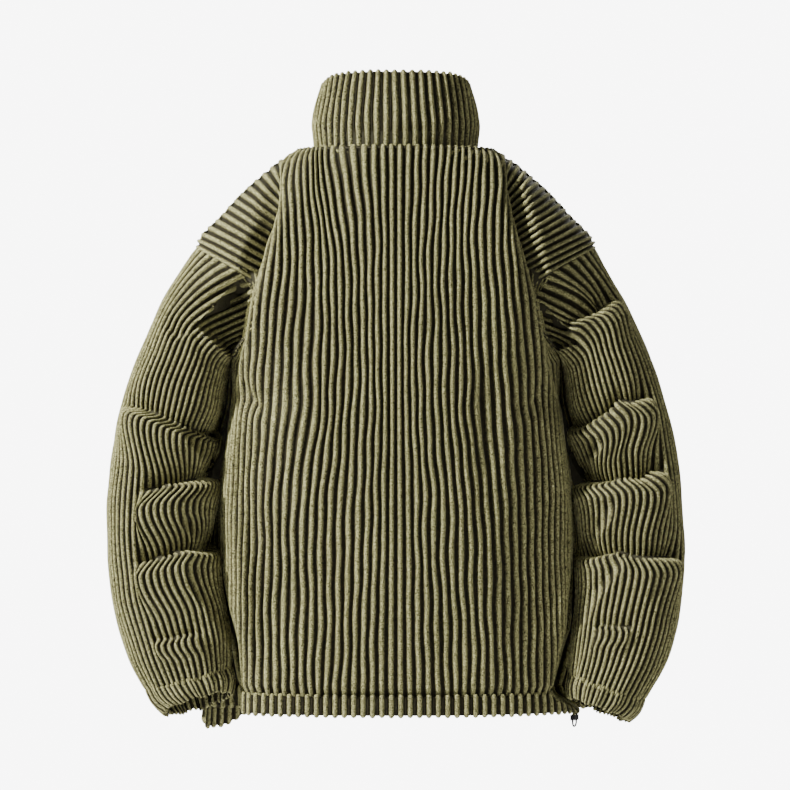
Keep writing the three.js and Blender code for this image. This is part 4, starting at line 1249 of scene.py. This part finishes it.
def hollow_offset(hollow, x, z):
    """How far cloth in a hollow lies in from behind."""
    run = hollow["x"] - x
    middle = hollow["z"] + hollow["slope"] * run
    half = np.maximum(hollow["spread"] * run, HOLLOW_EDGE["narrowest"])
    inside = 1 - smooth(np.abs(z - middle) / half, *HOLLOW_EDGE["side"])
    return -hollow["depth"] * smooth(run, *HOLLOW_EDGE["start"]) * inside


# a sleeve's two ends: its seam stands out, and its foot draws in and runs down into the cuff
SLEEVE_ENDS = {"seam_out": 1.5, "cuff_in": 3.4, "cuff_down": 12.0, "settled": (2, 16)}
GATHERS = 16                     # soft gathers round a cuff


def gathers(angle, start=0.0):
    """The uneven gathers round a sleeve's foot and its cuff, between -1 and 1."""
    turn = np.radians(angle)
    return np.sin(turn * GATHERS + 1.1 * np.sin(turn * 3) + start)


def make_sleeve(sign):
    u = wale_steps(0, SLEEVE_WALES)[:-1]
    angle = np.mod(WRAP_ANGLE + 360 * u / SLEEVE_WALES, 360)
    rings = np.linspace(0, LAST_RING, SLEEVE_ROWS + 1)
    A, R = np.meshgrid(angle, rings, indexing="ij")
    run = lengths(sleeve_point(sign, A, R))
    out, down, turn = (np.zeros(A.shape) for _ in range(3))
    for fold in FOLDS[sign]:
        for total, part in zip((out, down, turn), fold_offsets(sign, fold, angle, rings, run)):
            total += part
    wander = 1.6 * ripple(R * 38, A * 0.6, 2 + sign)
    grid = sleeve_point(sign, A + wander + turn, R)
    normal = outward(grid, normals(grid, closed=True))
    along = unit(gradient(grid, 1))
    x, z = sign * grid[..., 0], grid[..., 2]
    behind = smooth(A, 8, 22)
    sunk = behind * (1 - smooth(A, 172, 194)) * sum(lap_offset(lap, x, z) for lap in LAPS[sign])
    hollows = sum(hollow_offset(hollow, x, z) for hollow in HOLLOWS[sign])
    sunk += behind * (1 - smooth(A, 186, 206)) * hollows
    out += 1.3 * ripple(A * 1.1, run * 1.3, 7 + sign)
    from_seam, to_cuff = run, run[:, -1:] - run
    out += SLEEVE_ENDS["seam_out"] * np.exp(-from_seam / 6)
    gather = 1.6 * gathers(A)
    out += gather * np.exp(-to_cuff / 16.0) - SLEEVE_ENDS["cuff_in"] * (1 - smooth(to_cuff, 1, 9))
    down += SLEEVE_ENDS["cuff_down"] * (1 - smooth(to_cuff, 0, 18))
    settled = smooth(from_seam, *SLEEVE_ENDS["settled"])
    moved = normal * out[..., None] + along * down[..., None]
    grid = grid + moved * np.maximum(settled, 0.3)[..., None]
    grid[..., 1] += sunk * settled
    normal = outward(grid, normals(grid, closed=True))
    true_u = np.broadcast_to(u[:, None], A.shape)
    pressed = np.maximum(np.exp(-from_seam / 2.0), 1 - smooth(to_cuff, 2, 6))
    outer, ridge = ribbed(grid, normal, true_u, RIB["sleeve"], pressed)
    inner = underside(grid, normal, RIB["sleeve"], SLEEVE_BLOCK, closed=True)
    cloth = Cloth()
    cloth.sheet(outer, inner, ridge, true_u, run / WALE, SLEEVE_BLOCK, closed=True)
    name = SIDES[sign]
    return cloth.build(f"sleeve_cloth_{name}", [corduroy, weave], [f"sleeve_{name}"])


# ---- folded bands: hem, cuffs and collar ----------------------------------------------
BAND_ROWS = 8
ROLL_ROWS = 6
SEAM_ROLL = 3.0                  # radius of the edge that a band rolls into its seam with
HEM_LEVELS = np.linspace(HEM_SEAM + 0.4 - SEAM_ROLL, HEM_EDGE + BAND_ROLL, BAND_ROWS + 1)
CUFF_ROLL = 2.6
CUFF_RINGS = (0.08, 0.94)        # where a cuff's cloth starts and folds, on the cuff's rings
CUFF_TILT = {1: 11.0, -1: 6.0}   # how far the back edge of a cuff is drawn up
COLLAR_WALES = 54
COLLAR_ROWS = 18
COLLAR_FOLD = 0.965              # rise at which the collar folds over
COLLAR_COUNT = 400.5             # the collar's wales are counted from here, apart from the body's
SEAM_LAP = 10.0                  # how far the collar reaches down into its seam


def folded_band(grid, normal, ahead, roll=BAND_ROLL, inside_rows=None):
    """Rows that go along the outside of a band, round its folded edge and back inside it."""
    rows = roll_over(grid, normal, ahead, roll, 180, ROLL_ROWS)
    inside = (grid - normal * 2 * roll)[:, ::-1]
    return np.concatenate([rows, inside[:, :inside_rows]], 1)


def facing_like(normal, full, closed=False):
    """The normals of a folded band, turned to agree with those of its outside."""
    facing = normals(full, closed)
    return -facing if (facing[:, 4] * normal[:, 4]).sum() < 0 else facing


def band_piece(cloth, grid, u, rib, closed=False, roll=BAND_ROLL):
    """A band from its seam to its folded edge, with the wales on both of its sides."""
    turned = outward if closed else from_middle
    normal = turned(grid, normals(grid, closed))
    up = unit(grid[:, :1] - grid[:, 1:2])
    top = roll_over(grid[:, ::-1], normal[:, ::-1], np.broadcast_to(up, grid.shape), SEAM_ROLL, 80, 3)
    grid = top[:, ::-1]
    normal = turned(grid, normals(grid, closed))
    down = np.broadcast_to(unit(grid[:, -1:] - grid[:, -2:-1]), grid.shape)
    full = folded_band(grid, normal, down, roll)
    facing = facing_like(normal, full, closed)
    true_u = np.broadcast_to(u[:, None], full.shape[:2])
    outer, ridge = ribbed(full, facing, true_u, rib)
    cloth.band(outer, ridge, true_u, lengths(full) / WALE, closed)


def whole_wales(u, true_u):
    """The columns of a hem that lie on its section and not beyond the section's end."""
    return np.abs(true_u[:, 0] - u) < 0.02


def make_hem_back():
    cloth = Cloth()
    u, grid, _, true_u, _ = middle_grid(back_section, HEM_LEVELS, BACK_WALES)
    keep = whole_wales(u, true_u)
    grid[..., 1] -= drape(grid[..., 0], grid[..., 2])
    band_piece(cloth, grid[keep], u[keep] + 0.02, RIB["back"])
    return cloth.build("hem_band_back", [corduroy, weave], ["hem_back"])


def make_hem_front(side):
    cloth = Cloth()
    u, grid, _, true_u, _ = middle_grid(front_section, HEM_LEVELS, FRONT_WALES[side])
    grid = hang_front(lower_front(grid, HEM_LEVELS))
    keep = whole_wales(u, true_u)
    band_piece(cloth, grid[keep], u[keep], RIB["body"])
    name = SIDES[side]
    return cloth.build(f"hem_band_front_{name}", [corduroy, weave], [f"hem_front_{name}"])


def make_cuff(sign):
    cloth = Cloth()
    u = wale_steps(0, CUFF_WALES)[:-1]
    angle = np.mod(WRAP_ANGLE + 360 * u / CUFF_WALES, 360)
    rings = np.linspace(*CUFF_RINGS, BAND_ROWS + 3)
    A, R = np.meshgrid(angle, rings, indexing="ij")
    grid = ring_point(CUFFS[sign], sign, A, R)
    normal = outward(grid, normals(grid, closed=True))
    gather = 1.5 * gathers(A, 0.6)
    swell = 2.0 * np.sin(math.pi * R) - 1.0
    grid = grid + normal * (gather + swell)[..., None]
    grid[..., 2] += 1.2 * np.sin(np.radians(A) * 9 + sign) + CUFF_TILT[sign] * sin(A) * R
    band_piece(cloth, grid, u, RIB["cuff"], closed=True, roll=CUFF_ROLL)
    name = SIDES[sign]
    return cloth.build(f"cuff_band_{name}", [corduroy, weave], [f"cuff_{name}"])


def make_collar():
    cloth = Cloth()
    u = wale_steps(0, COLLAR_WALES)
    rise = np.linspace(0.0, COLLAR_FOLD, COLLAR_ROWS + 1)
    U, rises = np.meshgrid(u / COLLAR_WALES, rise, indexing="ij")
    open_angle = np.degrees(ZIP_SLOT / collar_half(rises))
    angle = -180 + open_angle + (360 - 2 * open_angle) * U
    wander = 0.9 * ripple(rises * 90, U * 900, 4) * np.sin(math.pi * U)
    angle = angle + wander
    grid = np.stack([collar_point(angle[:, j], rise[j]) for j in range(len(rise))], 1)
    normal = outward(grid, normals(grid))
    high = lengths(grid)
    inset = 4.5 * (1 - smooth(high, 0, 26)) - 1.2 * ripple(angle * 2.2, high * 2, 9)
    grid = (grid - normal * inset[..., None])[:, ::-1]
    grid[..., 2] -= SEAM_LAP * (1 - smooth(high[:, ::-1], 0, 20))
    normal = outward(grid, normals(grid))
    grid, normal = grid[:, ::-1], normal[:, ::-1]
    up = unit(gradient(grid, 1))
    full = folded_band(grid, normal, up, BAND_ROLL, COLLAR_ROWS - 2)
    facing = facing_like(normal, full)
    true_u = np.broadcast_to(u[:, None], full.shape[:2]) + COLLAR_COUNT
    outer, ridge = ribbed(full, facing, true_u, RIB["collar"])
    cloth.band(outer, ridge, true_u, lengths(full) / WALE)
    return cloth.build("collar_band", [corduroy, weave], ["collar"])


back = make_back()
fronts = {side: make_front(side) for side in (1, -1)}
sleeves = {side: make_sleeve(side) for side in (1, -1)}
collar = make_collar()
hem_back = make_hem_back()
hem_fronts = {side: make_hem_front(side) for side in (1, -1)}
cuffs = {side: make_cuff(side) for side in (1, -1)}


# ---- the zip --------------------------------------------------------------------------
ZIP_TOP = COLLAR["front_top"] + NECK_DROP
ZIP_FOOT = -667.0
# millimetres: across the front from its middle, and out from its face
TAPE = {"inner": 0.3, "outer": 14.6, "lift": -4.3, "thick": 0.5, "edge": 0.2}
TEETH = {"pitch": 2.5, "lift": -1.2, "long": 4.3, "high": 1.35, "deep": 2.7, "reach": 1.25}


def front_point(across, rise):
    """The outside of the front at a distance from its middle; above 0 it is the collar."""
    up = np.clip(rise / ZIP_TOP, 0, 1)
    low = np.minimum(rise, 0.0)
    collar_at = collar_point(180 - np.degrees(across / collar_half(up)), up)
    body_at = body_point(180 - np.degrees(across / BODY["half"](low)), low)
    return np.where((rise > 0)[..., None], collar_at, body_at)


def make_tape(side):
    across = np.linspace(TAPE["inner"], TAPE["outer"], 9)
    rises = np.linspace(HEM_EDGE + 1.0, ZIP_TOP - 1.0, 190)
    X, R = np.meshgrid(side * across, rises, indexing="ij")
    grid = front_point(X, R)
    normal = towards(normals(grid), -1)
    edge = TAPE["edge"] * np.exp(-((np.abs(X) - TAPE["outer"] + 0.6) / 0.5) ** 2)
    outer = grid + normal * (TAPE["lift"] + edge)[..., None]
    inner = grid + normal * (TAPE["lift"] - TAPE["thick"] - edge)[..., None]
    loop = np.concatenate([outer, inner[::-1]], 0)
    cloth = Cloth()
    u = np.concatenate([X, X[::-1]], 0)
    v = np.broadcast_to(lengths(grid)[:1], loop.shape[:2])
    at, quads, uvs = cloth.lattice(loop, 0.0, u, v, True)
    cloth.add_quads(quads, uvs, 0)
    count, last = len(loop), loop.shape[1] - 1
    cloth.rim([at(i, 0) for i in reversed(range(count))], [])
    cloth.rim([at(i, last) for i in range(count)], [])
    name = SIDES[side]
    piece = cloth.build(f"zip_tape_cloth_{name}", [tape, tape], [f"zip_tape_{name}"])
    return piece


def tooth_mesh(side):
    """One tooth: a flat block with a rounded head that reaches past the middle."""
    bm = bmesh.new()
    bmesh.ops.create_cube(bm, size=1.0)
    centre = side * (TEETH["long"] / 2 - TEETH["reach"])
    size = (TEETH["long"], TEETH["high"], TEETH["deep"])
    for vert in bm.verts:
        vert.co = Vector([c * s * MM for c, s in zip(vert.co, size)]) + Vector((centre * MM, 0, 0))
    bmesh.ops.bevel(bm, geom=bm.edges[:], offset=0.0003, segments=1, affect="EDGES")
    mesh = bpy.data.meshes.new("zip_tooth")
    bm.to_mesh(mesh)
    bm.free()
    return mesh


def row_of_teeth_tree():
    """Sets a piece along a line at a pitch, its Y axis along the line."""
    tree = bpy.data.node_groups.new("row_along_line", "GeometryNodeTree")
    for name, kind in (("Geometry", "Geometry"), ("Piece", "Object"), ("Pitch", "Float"),
                       ("Finish", "Material")):
        tree.interface.new_socket(name, in_out="INPUT", socket_type=f"NodeSocket{kind}")
    tree.interface.new_socket("Geometry", in_out="OUTPUT", socket_type="NodeSocketGeometry")
    t = Tree(tree)
    start = tree.nodes.new("NodeGroupInput")
    line = t.add("GeometryNodeMeshToCurve", {"Mesh": start.outputs["Geometry"]})
    spaced = t.add("GeometryNodeResampleCurve", {"Curve": line.outputs[0]}, mode="LENGTH")
    t.put(spaced.inputs["Length"], start.outputs["Pitch"])
    tangent = t.add("GeometryNodeInputTangent")
    turn = t.add("FunctionNodeAlignRotationToVector", {"Vector": tangent.outputs[0]},
                 axis="Y", pivot_axis="X")
    piece = t.add("GeometryNodeObjectInfo", {"Object": start.outputs["Piece"]})
    placed = t.add("GeometryNodeInstanceOnPoints", {"Points": spaced.outputs[0],
                                                    "Instance": piece.outputs["Geometry"],
                                                    "Rotation": turn.outputs[0]})
    real = t.add("GeometryNodeRealizeInstances", {"Geometry": placed.outputs[0]})
    finish = t.add("GeometryNodeSetMaterial", {"Geometry": real.outputs[0],
                                               "Material": start.outputs["Finish"]})
    end = tree.nodes.new("NodeGroupOutput")
    t.put(end.inputs["Geometry"], finish.outputs[0])
    return tree


def set_inputs(modifier, **values):
    """Gives a nodes modifier its values by the names of its inputs."""
    for item in modifier.node_group.interface.items_tree:
        if item.in_out == "INPUT" and item.name in values:
            modifier[item.identifier] = values[item.name]


def row_along(name, line, part, pitch, material, tree):
    """A mesh of copies of a part along a line of points in metres."""
    path = bpy.data.meshes.new(name)
    path.from_pydata([tuple(p) for p in line], [(i, i + 1) for i in range(len(line) - 1)], [])
    holder = bpy.data.objects.new(name, path)
    pattern = bpy.data.objects.new(name + "_pattern", part)
    for obj in (holder, pattern):
        bpy.context.collection.objects.link(obj)
    row = holder.modifiers.new("row", "NODES")
    row.node_group = tree
    set_inputs(row, Piece=pattern, Pitch=pitch, Finish=material)
    bpy.context.view_layer.update()
    shape = holder.evaluated_get(bpy.context.evaluated_depsgraph_get())
    mesh = bpy.data.meshes.new_from_object(shape)
    for obj in (holder, pattern):
        bpy.data.objects.remove(obj)
    return mesh


def make_teeth(side, tree):
    """One side's row of teeth, set half a pitch apart from the other side's."""
    rises = np.linspace(ZIP_FOOT + (TEETH["pitch"] / 2 if side > 0 else 0.0), ZIP_TOP - 2.0, 360)
    line = front_point(np.zeros_like(rises), rises)
    tangent = unit(np.gradient(line, axis=0))
    normal = np.stack([tangent[:, 0] * 0, -tangent[:, 2], tangent[:, 1]], -1)
    line = (line + normal * TEETH["lift"]) * MM
    name = f"zip_teeth_{SIDES[side]}"
    mesh = row_along(name, line, tooth_mesh(side), TEETH["pitch"] * MM, metal, tree)
    mesh.name = name
    return finish_piece(name, mesh, ["zip_chain"] if side > 0 else [])


def make_zip():
    tapes = [make_tape(side) for side in (1, -1)]
    tree = row_of_teeth_tree()
    teeth = [make_teeth(side, tree) for side in (1, -1)]
    dress_node("zip_box", metal, 0.0006)
    dress_node("zip_slider", metal, 0.0004)
    dress_node("zip_pull", metal, 0.0003)
    return tapes, teeth


tapes, teeth = make_zip()
